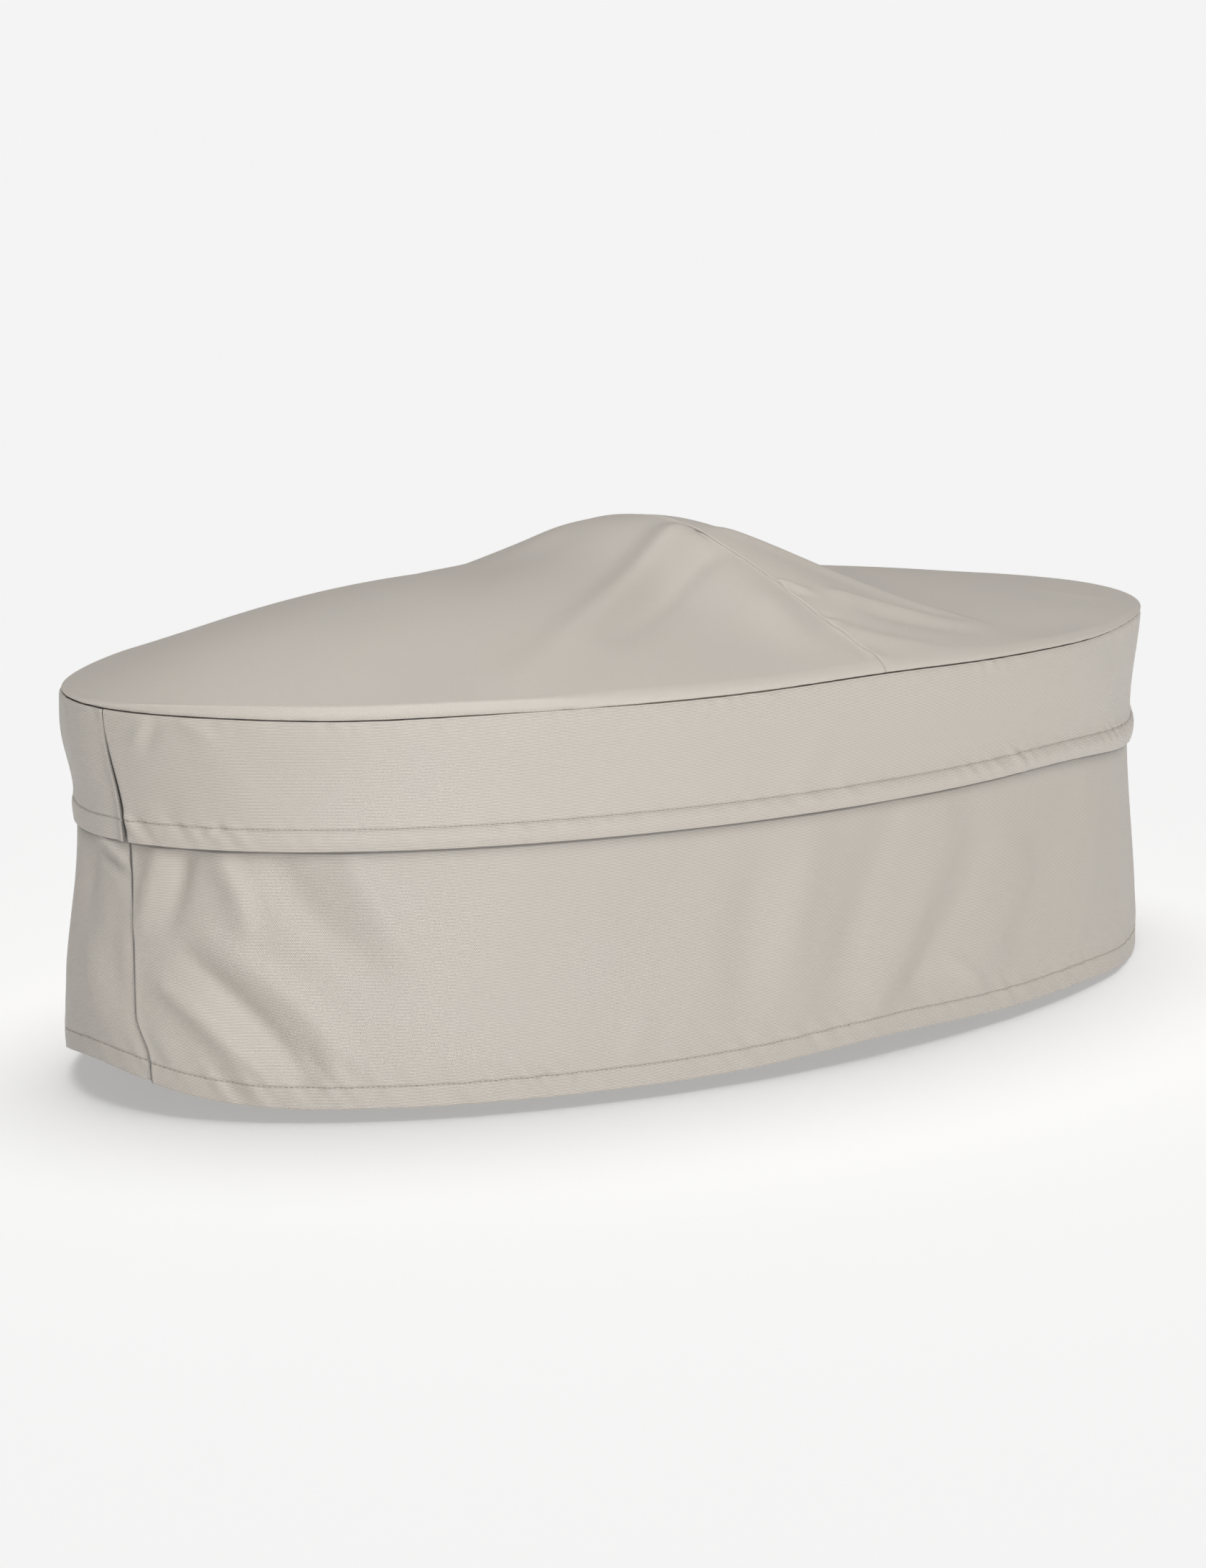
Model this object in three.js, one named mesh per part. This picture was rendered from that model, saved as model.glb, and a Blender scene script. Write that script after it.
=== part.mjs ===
// Long, low, oval fitted cover of cloth. It is hollow and open below.
//
// Millimetres, +Z up, +X along the oval's long axis, -Y towards the front.
// Heights are counted from the hem's plane. The group is lowered at the end, so that its origin
// is the underside of the crown, which is where the cover is held up.
//
// Each cut and sewn piece of cloth is one closed sheet with an outer and an inner face.
// Places on the wall are given as arc, the way along the oval from the middle of the front
// (positive towards +X), and height.

import * as THREE from 'three';

// Driving dimensions
const HALF_LENGTH = 808;
const HALF_WIDTH = 430;
const RIM_HEIGHT = 440;
const FLAP_HEM_HEIGHT = 290;
const CROWN_RISE = 150;
const CLOTH = 1.2;
const PIECE_GAP = 0.3;
const HEM_WIDTH = 25;
const HEM_THICKNESS = 2 * CLOTH;

// Colour and finish of the cloth
const CLOTH_COLOUR = 0xc6c0b8;
const CLOTH_ROUGHNESS = 0.85;

// The top folds over at the rim: rise above the rim seam, and the radius of the fold.
// The rise is largest at the front left and falls towards the back right.
const EDGE = { rise: 7, riseTilt: 4, radius: 8, arcSteps: 3, leastStrip: 0.5 };

// The top's ridge along the long axis, as parts of CROWN_RISE: a broad swell that falls to
// nothing at the end with the given power, and a narrower bell of the given width over it
const RIDGE = {
  left: { swell: 0.68, power: 2.4, bellWidth: 0.125 },
  right: { swell: 0.49, power: 1.6, bellWidth: 0.21 },
};

// How round the ridge is across the short axis, at the crown and far from it
const RIDGE_ROUNDING = { crown: 0.37, far: 0.8, reach: 0.22 };

// How far the walls stand in from the oval
const BAND_LEAN = { waist: 11, waistHeight: 325, hem: 6 };
const SKIRT_LEAN = { behindRim: CLOTH + 1, atFlap: 14, hem: -4, rimPower: 3 };

// The cover stands out a little at the left end, all the way down
const LEFT_SWELL = { out: 8, reach: 160 };

// Below the rim the walls stand out a little more at the front right
const RIGHT_SWELL = { arc: 530, out: 7, reach: 120, fade: 120 };

// Places along the oval where a hem is lifted, or sags
const SKIRT_LIFTS = [
  { arc: -995, height: 22, reach: 115 },
  { arc: 5, height: 8, reach: 170 },
  { arc: 640, height: -12, reach: 170 },
];
const BAND_LIFTS = [{ arc: 680, height: -20, reach: 190 }];

// Vertical seams of band and skirt: arc at the rim, and how far each leans to the front per
// millimetre of drop
const SEAM_ARC = { left: -978, leftLean: 0.155, right: 978 };

// Steps in which the way along the oval is added up
const OVAL_SAMPLES = 1440;

// Grid of each wall, and how much finer its columns are at the left end of the front
const FRONT_COLUMNS = 52;
const BACK_COLUMNS = 36;
const FRONT_CROWDING = 0.45;
const BAND_ROWS = { front: 5, back: 3 };
const SKIRT_ROWS = { front: 10, back: 6 };
const HEM_STEP = 1.5;

// Grid of each half of the top, and how the rings crowd towards its edge
const TOP_COLUMNS = 30;
const TOP_RINGS = 9;
const RING_POWER = 0.9;

// The top's folds fade towards the rim with this power
const FOLD_FADE_POWER = 4;

// Folds of the top: a soft ridge or valley between two places in plan, with its height at
// both ends and its half width
const TOP_FOLDS = [
  { x: -30, y: -100, height: 9, toX: -480, toY: -325, toHeight: 3, width: 30 },
  { x: -20, y: -155, height: -7, toX: -285, toY: -285, toHeight: -4, width: 32 },
  { x: -35, y: -260, height: 5, toX: -70, toY: -370, toHeight: 3, width: 32 },
  { x: 60, y: -110, height: 4, toX: 255, toY: -325, toHeight: 2, width: 24 },
  { x: 110, y: -275, height: -5, toX: 240, toY: -310, toHeight: -3, width: 30 },
  { x: 0, y: -350, height: 4, toX: 125, toY: -415, toHeight: 3, width: 22 },
  { x: -195, y: 75, height: -6, toX: -320, toY: -60, toHeight: -3, width: 55 },
];

// Folds of the walls, in arc and height
const SKIRT_FOLDS = [
  { arc: -875, z: 285, height: -5, toArc: -870, toZ: 235, toHeight: -6, width: 20 },
  { arc: -868, z: 235, height: -7, toArc: -728, toZ: 40, toHeight: -5, width: 26 },
  { arc: -838, z: 275, height: 4, toArc: -805, toZ: 190, toHeight: 5, width: 20 },
  { arc: -907, z: 270, height: 4, toArc: -920, toZ: 190, toHeight: 4, width: 18 },
  { arc: -912, z: 112, height: -4, toArc: -815, toZ: 36, toHeight: -5, width: 18 },
  { arc: -880, z: 145, height: 6, toArc: -803, toZ: 43, toHeight: 6, width: 20 },
  { arc: 75, z: 250, height: 3, toArc: -55, toZ: 118, toHeight: 4, width: 34 },
  { arc: 145, z: 180, height: -4, toArc: 13, toZ: 55, toHeight: -4, width: 32 },
  { arc: 212, z: 165, height: 4, toArc: 50, toZ: 45, toHeight: 4, width: 32 },
  { arc: 2952, z: 280, height: -4, toArc: 2950, toZ: 170, toHeight: -3, width: 26 },
  { arc: 2900, z: 260, height: 4, toArc: 2880, toZ: 90, toHeight: 4, width: 30 },
  { arc: 2890, z: 180, height: 3, toArc: 2890, toZ: 0, toHeight: 4, width: 110 },
  { arc: 1280, z: 240, height: 4, toArc: 1320, toZ: 60, toHeight: 4, width: 45 },
  { arc: 1930, z: 230, height: -4, toArc: 2020, toZ: 60, toHeight: -3, width: 50 },
];
const BAND_FOLDS = [
  { arc: -918, z: 433, height: 2, toArc: -938, toZ: 405, toHeight: 2, width: 20 },
  { arc: -847, z: 426, height: 1.5, toArc: -815, toZ: 320, toHeight: 2, width: 30 },
  { arc: -89, z: 362, height: 2, toArc: -125, toZ: 325, toHeight: 2, width: 30 },
  { arc: 526, z: 373, height: 2, toArc: 498, toZ: 360, toHeight: 1.5, width: 22 },
];

/** Eases from 0 to 1 with level ends. */
function ease(x) {
  return THREE.MathUtils.smoothstep(x, 0, 1);
}

/** The oval of the rim: points, outward normals, and the way along it. */
class Oval {
  constructor(halfLength, halfWidth, samples) {
    this.halfLength = halfLength;
    this.halfWidth = halfWidth;
    this.first = -Math.PI;
    this.step = (3 * Math.PI) / samples;
    this.lengths = [0];
    for (let i = 0; i < samples; i++) {
      const middle = this.first + (i + 0.5) * this.step;
      const speed = Math.hypot(halfLength * Math.sin(middle), halfWidth * Math.cos(middle));
      this.lengths.push(this.lengths[i] + speed * this.step);
    }
    this.frontMiddle = this.lengths[Math.round((-Math.PI / 2 - this.first) / this.step)];
  }

  /** The way along the oval from the middle of the front to an angle. */
  arcAt(angle) {
    const place = (angle - this.first) / this.step;
    const i = Math.min(Math.floor(place), this.lengths.length - 2);
    return THREE.MathUtils.lerp(this.lengths[i], this.lengths[i + 1], place - i) - this.frontMiddle;
  }

  /** The angle at a way along the oval. */
  angleAt(arc) {
    let low = this.first;
    let high = 2 * Math.PI;
    while (high - low > 1e-9) {
      const middle = (low + high) / 2;
      if (this.arcAt(middle) < arc) low = middle;
      else high = middle;
    }
    return low;
  }

  /** The outward normal at an angle, level. */
  normal(angle) {
    const x = this.halfWidth * Math.cos(angle);
    const y = this.halfLength * Math.sin(angle);
    return new THREE.Vector3(x, y, 0).normalize();
  }

  /** The point at an angle and height, moved in from the rim. */
  point(angle, height, standsIn) {
    const x = this.halfLength * Math.cos(angle);
    const y = this.halfWidth * Math.sin(angle);
    const out = LEFT_SWELL.out * nearness(this.arcAt(angle), this.leftEnd, LEFT_SWELL.reach);
    return new THREE.Vector3(x, y, height).addScaledVector(this.normal(angle), out - standsIn);
  }

  /** The arc of the oval's left end. */
  get leftEnd() {
    return this.arcAt(-Math.PI);
  }

  /** The whole way round. */
  get perimeter() {
    return this.arcAt(Math.PI) - this.arcAt(-Math.PI);
  }
}

const OVAL = new Oval(HALF_LENGTH, HALF_WIDTH, OVAL_SAMPLES);

/** From 1 at an arc to 0 away from it, both ways round the oval. */
function nearness(arc, middle, reach) {
  const whole = OVAL.perimeter;
  const away = Math.abs(arc - middle) % whole;
  return Math.exp(-((Math.min(away, whole - away) / reach) ** 2));
}

/** Height of one soft fold at a place (p, q), from its two ends. */
function foldHeight(p, q, start, end, fold) {
  const along = { p: end.p - start.p, q: end.q - start.q };
  const length2 = along.p ** 2 + along.q ** 2;
  const share = ((p - start.p) * along.p + (q - start.q) * along.q) / length2;
  const t = THREE.MathUtils.clamp(share, 0, 1);
  const away2 = (p - start.p - t * along.p) ** 2 + (q - start.q - t * along.q) ** 2;
  return THREE.MathUtils.lerp(fold.height, fold.toHeight, t) * Math.exp(-away2 / fold.width ** 2);
}

/** Sum of the top's folds at a place in plan. */
function topFolds(x, y) {
  let sum = 0;
  for (const fold of TOP_FOLDS) {
    sum += foldHeight(x, y, { p: fold.x, q: fold.y }, { p: fold.toX, q: fold.toY }, fold);
  }
  return sum;
}

/** Sum of a wall's folds at an arc and height. */
function wallFolds(folds, arc, z) {
  let sum = 0;
  for (const fold of folds) {
    sum += foldHeight(arc, z, { p: fold.arc, q: fold.z }, { p: fold.toArc, q: fold.toZ }, fold);
  }
  return sum;
}

/** Height of the top's outer face over a place in plan. */
function topHeight(x, y) {
  const u = THREE.MathUtils.clamp(x / HALF_LENGTH, -1, 1);
  const v = THREE.MathUtils.clamp(y / HALF_WIDTH, -1, 1);
  const side = u < 0 ? RIDGE.left : RIDGE.right;
  const swell = side.swell * (1 - Math.abs(u) ** side.power);
  const bell = (1 - side.swell) * Math.exp(-((u / side.bellWidth) ** 2));
  const widthHere = Math.sqrt(Math.max(1 - u * u, 1e-6));
  const across = Math.min(Math.abs(v) / widthHere, 1);
  const far = Math.min(Math.abs(u) / RIDGE_ROUNDING.reach, 1);
  const round = THREE.MathUtils.lerp(RIDGE_ROUNDING.crown, RIDGE_ROUNDING.far, far);
  const fall = (Math.hypot(across, round) - round) / (Math.hypot(1, round) - round);
  const edge = EDGE.rise - EDGE.riseTilt * (u + v);
  const inner = 1 - Math.min(u * u + v * v, 1) ** FOLD_FADE_POWER;
  return RIM_HEIGHT + edge + CROWN_RISE * (swell + bell) * (1 - fall) + inner * topFolds(x, y);
}

/** How far the band stands in from the oval at a height. */
function bandStandsIn(z) {
  if (z > BAND_LEAN.waistHeight) {
    const up = (z - BAND_LEAN.waistHeight) / (RIM_HEIGHT - BAND_LEAN.waistHeight);
    return BAND_LEAN.waist * (1 - ease(up));
  }
  const up = (z - FLAP_HEM_HEIGHT) / (BAND_LEAN.waistHeight - FLAP_HEM_HEIGHT);
  return THREE.MathUtils.lerp(BAND_LEAN.hem, BAND_LEAN.waist, ease(up));
}

/** How far the skirt stands in from the oval at a height. */
function skirtStandsIn(z) {
  if (z > FLAP_HEM_HEIGHT) {
    const up = (z - FLAP_HEM_HEIGHT) / (RIM_HEIGHT - FLAP_HEM_HEIGHT);
    const share = ease(up ** SKIRT_LEAN.rimPower);
    return THREE.MathUtils.lerp(SKIRT_LEAN.atFlap, SKIRT_LEAN.behindRim, share);
  }
  return THREE.MathUtils.lerp(SKIRT_LEAN.hem, SKIRT_LEAN.atFlap, ease(z / FLAP_HEM_HEIGHT));
}

/** How much a hem is lifted at an arc. */
function hemLift(lifts, arc) {
  let sum = 0;
  for (const lift of lifts) sum += lift.height * nearness(arc, lift.arc, lift.reach);
  return sum;
}

/** How far the walls stand out at the front right, at an arc and height. */
function rightSwell(arc, z) {
  const below = ease((RIM_HEIGHT - z) / RIGHT_SWELL.fade);
  return RIGHT_SWELL.out * below * nearness(arc, RIGHT_SWELL.arc, RIGHT_SWELL.reach);
}

/**
 * A closed sheet between an outer and an inner face on one grid. Columns run to the right and
 * rows down, as seen from outside. With a pole, the whole first row is one point.
 */
function closedSheet({ columns, rows, outer, inner, pole = false }) {
  const points = [];
  const triangles = [];
  const addFace = (place) => {
    const index = [];
    for (let j = 0; j <= rows; j++) {
      const row = [];
      for (let i = 0; i <= columns; i++) {
        if (!(pole && j === 0 && i > 0)) points.push(place(i, j));
        row.push(points.length - 1);
      }
      index.push(row);
    }
    return index;
  };
  const addQuad = (a, b, c, d) => {
    if (a !== b && b !== c && c !== a) triangles.push(a, b, c);
    if (a !== c && c !== d && d !== a) triangles.push(a, c, d);
  };
  const out = addFace(outer);
  const back = addFace(inner);
  for (let j = 0; j < rows; j++) {
    for (let i = 0; i < columns; i++) {
      addQuad(out[j][i], out[j + 1][i], out[j + 1][i + 1], out[j][i + 1]);
      addQuad(back[j][i], back[j][i + 1], back[j + 1][i + 1], back[j + 1][i]);
    }
    addQuad(out[j][0], back[j][0], back[j + 1][0], out[j + 1][0]);
    addQuad(out[j][columns], out[j + 1][columns], back[j + 1][columns], back[j][columns]);
  }
  for (let i = 0; i < columns; i++) {
    addQuad(out[rows][i], back[rows][i], back[rows][i + 1], out[rows][i + 1]);
    if (!pole) addQuad(out[0][i], out[0][i + 1], back[0][i + 1], back[0][i]);
  }
  const geometry = new THREE.BufferGeometry().setFromPoints(points);
  geometry.setIndex(triangles);
  geometry.computeVertexNormals();
  return geometry;
}

/** A named mesh of the cover's cloth. */
function clothPiece(name, geometry) {
  const material = new THREE.MeshStandardMaterial({
    name,
    color: CLOTH_COLOUR,
    roughness: CLOTH_ROUGHNESS,
    metalness: 0,
  });
  const mesh = new THREE.Mesh(geometry, material);
  mesh.name = name;
  return mesh;
}

/** Heights of a wall's rows, evenly down to its hem, then the hem's step and its edge. */
function rowHeights(top, bottom, evenRows) {
  const hemTop = bottom + HEM_WIDTH;
  const heights = [];
  for (let j = 0; j <= evenRows; j++) {
    heights.push(THREE.MathUtils.lerp(top, hemTop + HEM_STEP, j / evenRows));
  }
  return [...heights, hemTop, bottom];
}

/** The arcs between which the front or back piece lies at a height. */
function pieceSpan(side, z) {
  const left = SEAM_ARC.left + SEAM_ARC.leftLean * (RIM_HEIGHT - z);
  const ends = side === 'front' ? [left, SEAM_ARC.right] : [SEAM_ARC.right, left + OVAL.perimeter];
  return [ends[0] + PIECE_GAP / 2, ends[1] - PIECE_GAP / 2];
}

/**
 * A wall of cloth: the front or back piece of the band or of the skirt. standsIn gives the
 * wall's lean, and shift moves a height up or down.
 */
function wallPiece({ name, side, heights, standsIn, folds, foldTop, shift }) {
  const columns = side === 'front' ? FRONT_COLUMNS : BACK_COLUMNS;
  const crowding = side === 'front' ? FRONT_CROWDING : 0;
  const bottom = heights[heights.length - 1];
  const place = (i, j, inwards) => {
    const z = heights[j];
    const [start, end] = pieceSpan(side, z);
    const share = i / columns;
    const angle = THREE.MathUtils.lerp(
      OVAL.angleAt(start),
      OVAL.angleAt(end),
      share * (1 - crowding) + crowding * share * share,
    );
    const arc = OVAL.arcAt(angle);
    const thickness = z <= bottom + HEM_WIDTH ? HEM_THICKNESS : CLOTH;
    const foldShare = ease((foldTop - z) / HEM_WIDTH);
    const out = foldShare * wallFolds(folds, arc, z) + rightSwell(arc, z);
    const depth = standsIn(z) - out + inwards * thickness;
    return OVAL.point(angle, z + shift(arc, z), depth);
  };
  const geometry = closedSheet({
    columns,
    rows: heights.length - 1,
    outer: (i, j) => place(i, j, 0),
    inner: (i, j) => place(i, j, 1),
  });
  return clothPiece(name, geometry);
}

/** The band, or upper flap: hangs from the rim seam over the skirt, with a hem. */
function bandPiece(side) {
  return wallPiece({
    name: `band_${side}`,
    side,
    heights: rowHeights(RIM_HEIGHT - PIECE_GAP / 2, FLAP_HEM_HEIGHT, BAND_ROWS[side]),
    standsIn: bandStandsIn,
    folds: BAND_FOLDS,
    foldTop: RIM_HEIGHT,
    shift: (arc, z) => {
      const down = (RIM_HEIGHT - z) / (RIM_HEIGHT - FLAP_HEM_HEIGHT);
      return hemLift(BAND_LIFTS, arc) * down ** 2;
    },
  });
}

/** The skirt: hangs from the rim seam behind the band, down to its own hem. */
function skirtPiece(side) {
  return wallPiece({
    name: `skirt_${side}`,
    side,
    heights: rowHeights(RIM_HEIGHT - PIECE_GAP / 2, 0, SKIRT_ROWS[side]),
    standsIn: skirtStandsIn,
    folds: SKIRT_FOLDS,
    foldTop: FLAP_HEM_HEIGHT + HEM_WIDTH,
    shift: (arc, z) => hemLift(SKIRT_LIFTS, arc) * Math.max(1 - z / FLAP_HEM_HEIGHT, 0),
  });
}

/** Half of the top: a dome from the crown out, a rolled edge, and a strip down to the rim seam. */
function topPiece(name, side) {
  const sign = side === 'left' ? -1 : 1;
  const firstAngle = side === 'left' ? Math.PI / 2 : -Math.PI / 2;
  const stripBottom = RIM_HEIGHT + PIECE_GAP / 2;
  const rows = TOP_RINGS + EDGE.arcSteps + 1;
  const place = (i, j, inwards) => {
    const angle = firstAngle + (Math.PI * i) / TOP_COLUMNS;
    const shoulder = OVAL.point(angle, 0, EDGE.radius);
    const share = Math.min(j / TOP_RINGS, 1) ** RING_POWER;
    const x = shoulder.x * share;
    const y = shoulder.y * share;
    const dome = topHeight(x, y);
    let point = new THREE.Vector3(x, y, dome - inwards * CLOTH);
    if (j > TOP_RINGS) {
      const turn = (Math.PI / 2) * Math.min((j - TOP_RINGS) / EDGE.arcSteps, 1);
      const drop = Math.min(EDGE.radius, dome - stripBottom - EDGE.leastStrip);
      const radius = EDGE.radius - inwards * CLOTH;
      const standsIn = EDGE.radius - radius * Math.sin(turn);
      const height = dome - drop + (drop - inwards * CLOTH) * Math.cos(turn);
      point = OVAL.point(angle, j === rows ? stripBottom : height, standsIn);
    }
    point.x += (sign * PIECE_GAP) / 2;
    return point;
  };
  const geometry = closedSheet({
    columns: TOP_COLUMNS,
    rows,
    outer: (i, j) => place(i, j, 0),
    inner: (i, j) => place(i, j, 1),
    pole: true,
  });
  return clothPiece(name, geometry);
}

const cover = new THREE.Group();
cover.name = 'fitted_cover';
cover.add(topPiece('top_left', 'left'));
cover.add(topPiece('top_right', 'right'));
for (const side of ['front', 'back']) {
  cover.add(bandPiece(side));
  cover.add(skirtPiece(side));
}

// The origin is the underside of the crown
cover.position.z = -(topHeight(0, 0) - CLOTH);

export default cover;
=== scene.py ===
"""Looks of a long, low, oval fitted cloth cover.

Every piece of cloth is a closed sheet worked out on a grid. Sizes are in millimetres above the
hem's plane, and are turned into metres in the row frame, whose origin is the underside of the
crown, when a mesh is made. A place on a wall is an arc, the way along the oval from the middle
of the front and positive towards +X, and a height. A place on the top is x and y.
"""

import logging
import math
from collections.abc import Callable
from dataclasses import dataclass
from enum import Enum
from functools import cached_property
from typing import NamedTuple

import bpy
import numpy as np
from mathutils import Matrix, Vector


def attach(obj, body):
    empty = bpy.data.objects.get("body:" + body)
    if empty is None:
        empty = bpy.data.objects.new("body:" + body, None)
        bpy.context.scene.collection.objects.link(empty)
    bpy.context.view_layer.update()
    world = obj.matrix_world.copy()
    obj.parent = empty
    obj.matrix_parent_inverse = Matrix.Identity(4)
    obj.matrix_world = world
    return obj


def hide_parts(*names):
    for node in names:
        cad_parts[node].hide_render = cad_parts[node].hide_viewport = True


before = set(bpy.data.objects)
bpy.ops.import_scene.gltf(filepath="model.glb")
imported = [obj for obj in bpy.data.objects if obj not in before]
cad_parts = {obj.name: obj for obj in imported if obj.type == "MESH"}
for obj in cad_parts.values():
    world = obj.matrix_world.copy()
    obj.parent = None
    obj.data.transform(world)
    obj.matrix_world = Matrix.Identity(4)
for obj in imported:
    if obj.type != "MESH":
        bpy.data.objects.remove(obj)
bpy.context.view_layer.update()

LOG = logging.getLogger("fitted_cover")
Array = np.ndarray
Number = Array | float
WEAVE_MAP = "weave"
# Attribute of painted shade: how dark the cloth is painted where shade falls at seams and under hems
PAINTED_SHADE_LAYER = "painted_shade"

METRE = 0.001
CROWN_UNDERSIDE = 595.8
CLOTH_THICKNESS = 1.2
HEM_THICKNESS = 2.4
HEM_WIDTH = 25.0
RIM_HEIGHT = 440.0
BAND_HEM = 290.0
FLOOR_HEIGHT = -15.0
HALF_GAP = 0.15
SHARP_ANGLE = math.radians(50.0)


class Side(Enum):
    """Which half of a wall a piece of cloth covers."""

    FRONT = "front"
    BACK = "back"


class Half(Enum):
    """Which half of the top a piece of cloth covers, with the sign of its x."""

    LEFT = -1
    RIGHT = 1


class Bump(NamedTuple):
    """A soft rise about a middle, or a dip where its height is negative."""

    height: float
    middle: float
    reach: float

    def at(self, place: Array) -> Array:
        """Height at a place: a Gaussian of the distance from the middle."""
        return self.height * bell(place - self.middle, self.reach)


class Spot(NamedTuple):
    """A place where the steps of a grid are finer: the place, its step, and its reach."""

    place: float
    step: float
    reach: float


class Shade(NamedTuple):
    """Painted shade: its depth, the distance at which it ends, and the width of its soft edge."""

    depth: float
    end: float
    edge: float

    def at(self, distance: Array) -> Array:
        """Depth at a distance: whole up to the edge, then falling evenly to nothing."""
        return self.depth * np.clip((self.end - distance) / self.edge, 0.0, 1.0)


# How much the rim seam rises along the oval, and where the top folds over and shuts it
RIM_WAVE = (Bump(5.0, 0.0, 170.0), Bump(-2.8, -690.0, 120.0), Bump(-2.8, 450.0, 120.0))
RIM_SHUT = (Bump(1.2, -435.0, 75.0), Bump(0.9, 540.0, 120.0))

# How far the band's hem sags, and how far the skirt's hem is lifted
FLAP_SAG = (Bump(20.0, 680.0, 190.0),)
SKIRT_LIFT = (Bump(35.0, -1012.0, 142.0), Bump(8.0, 5.0, 170.0), Bump(-12.0, 640.0, 170.0))

# How far the walls swell out at the front right, and the band at the back left
RIGHT_SWELL = (Bump(7.0, 530.0, 120.0),)
BACK_SWELL = (Bump(8.0, 2810.0, 190.0),)

# How much higher the fold at the top's rim stands where the strip under it shows
EDGE_RISE = (
    Bump(4.0, -660.0, 230.0),
    Bump(3.0, 1150.0, 260.0),
    Bump(-4.0, -1030.0, 115.0),
    Bump(-6.5, -1190.0, 150.0),
)

# Painted shade along the left seam, under the band's hem, and along the seam over the crown
SEAM_SHADE = Shade(0.75, 1.9, 1.2)
FLAP_SHADE = Shade(0.8, 4.2, 1.6)
TOP_SEAM_SHADE = Shade(0.8, 2.0, 1.2)


def ease(x: Array) -> Array:
    """Goes from 0 to 1 with level ends: x squared times 3 less 2 x, held between 0 and 1."""
    t = np.clip(x, 0.0, 1.0)
    return t * t * (3.0 - 2.0 * t)


def bell(distance: Array, width: float) -> Array:
    """A Gaussian of height 1: e to the power of less the square of distance over width."""
    return np.exp(-np.square(distance / width))


def graded(low: float, high: float, coarse: float, spots: list[Spot]) -> Array:
    """Places from low to high that crowd near some spots.

    The step at a place is the coarse step, less a Gaussian dip at each spot. The places are
    where the running sum of one over the step passes whole numbers.

    Args:
        low: First place.
        high: Last place.
        coarse: Step away from the spots.
        spots: The spots with finer steps.

    Returns:
        The places in rising order, both ends among them.
    """
    samples = 4001
    x = np.linspace(low, high, samples)
    step = np.full_like(x, coarse)
    for spot in spots:
        step = np.minimum(step, coarse - (coarse - spot.step) * bell(x - spot.place, spot.reach))
    dense = 1.0 / step
    total = np.concatenate([[0.0], np.cumsum((dense[1:] + dense[:-1]) / 2.0 * np.diff(x))])
    count = max(2, math.ceil(total[-1]))
    return np.interp(np.linspace(0.0, total[-1], count + 1), total, x)


@dataclass
class Oval:
    """The oval of the rim, an ellipse that swells a little at its left end."""

    half_length: float = 808.0
    half_width: float = 430.0
    swell: float = 8.0
    swell_reach: float = 160.0
    shut_gap: float = 0.08
    open_gap: float = 0.62
    samples: int = 8640

    @cached_property
    def angles(self) -> Array:
        """Angles from minus half a turn to a whole turn."""
        return np.linspace(-np.pi, 2.0 * np.pi, self.samples + 1)

    @cached_property
    def arcs(self) -> Array:
        """Way along the ellipse at each angle, from the middle of the front."""
        middle = (self.angles[1:] + self.angles[:-1]) / 2.0
        speed = np.hypot(self.half_length * np.sin(middle), self.half_width * np.cos(middle))
        run = np.concatenate([[0.0], np.cumsum(speed * np.diff(self.angles))])
        return run - np.interp(-np.pi / 2.0, self.angles, run)

    @cached_property
    def perimeter(self) -> float:
        """The whole way round."""
        return float(np.interp(np.pi, self.angles, self.arcs) - self.arcs[0])

    @cached_property
    def left_end(self) -> float:
        """The arc of the left end."""
        return float(self.arcs[0])

    def angle_at(self, arc: Array) -> Array:
        """The angle at an arc."""
        return np.interp(arc, self.arcs, self.angles)

    def arc_at(self, angle: Array) -> Array:
        """The arc at an angle."""
        return np.interp(angle, self.angles, self.arcs)

    def distance(self, arc: Array, middle: float) -> Array:
        """The distance from an arc, the shorter way round."""
        away = np.abs(arc - middle) % self.perimeter
        return np.minimum(away, self.perimeter - away)

    def near(self, arc: Array, middle: float, reach: float) -> Array:
        """A Gaussian of the distance from an arc."""
        return bell(self.distance(arc, middle), reach)

    def rise(self, arc: Array, bumps: tuple[Bump, ...]) -> Array:
        """The sum of some bumps: each is its height times a Gaussian of the distance."""
        return sum(bump.height * self.near(arc, bump.middle, bump.reach) for bump in bumps)

    def rim_wave(self, arc: Array) -> Array:
        """How much the rim seam rises: it dips at the front left and at the right end."""
        return self.rise(arc, RIM_WAVE)

    def rim_gap(self, arc: Array) -> Array:
        """Half the width of the rim seam: it closes where the top folds over it."""
        shut = np.clip(self.rise(arc, RIM_SHUT), 0.0, 1.0)
        return self.shut_gap + self.open_gap * (1.0 - shut)

    def flap_sag(self, arc: Array) -> Array:
        """How far the band's hem sags: most near the right end."""
        return self.rise(arc, FLAP_SAG)

    def place(self, angle: Array, height: Number, out: Number) -> Array:
        """Points at an angle and height, moved out along the ellipse's own normal.

        Args:
            angle: Angle of each point.
            height: Height of each point.
            out: How far each point stands out from the rim.

        Returns:
            The points, with x, y and z along the last axis.
        """
        x = self.half_length * np.cos(angle)
        y = self.half_width * np.sin(angle)
        nx = self.half_width * np.cos(angle)
        ny = self.half_length * np.sin(angle)
        size = np.hypot(nx, ny)
        away = out + self.swell * self.near(self.arc_at(angle), self.left_end, self.swell_reach)
        parts = np.broadcast_arrays(x + away * nx / size, y + away * ny / size, height)
        return np.stack(parts, axis=-1)


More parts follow.
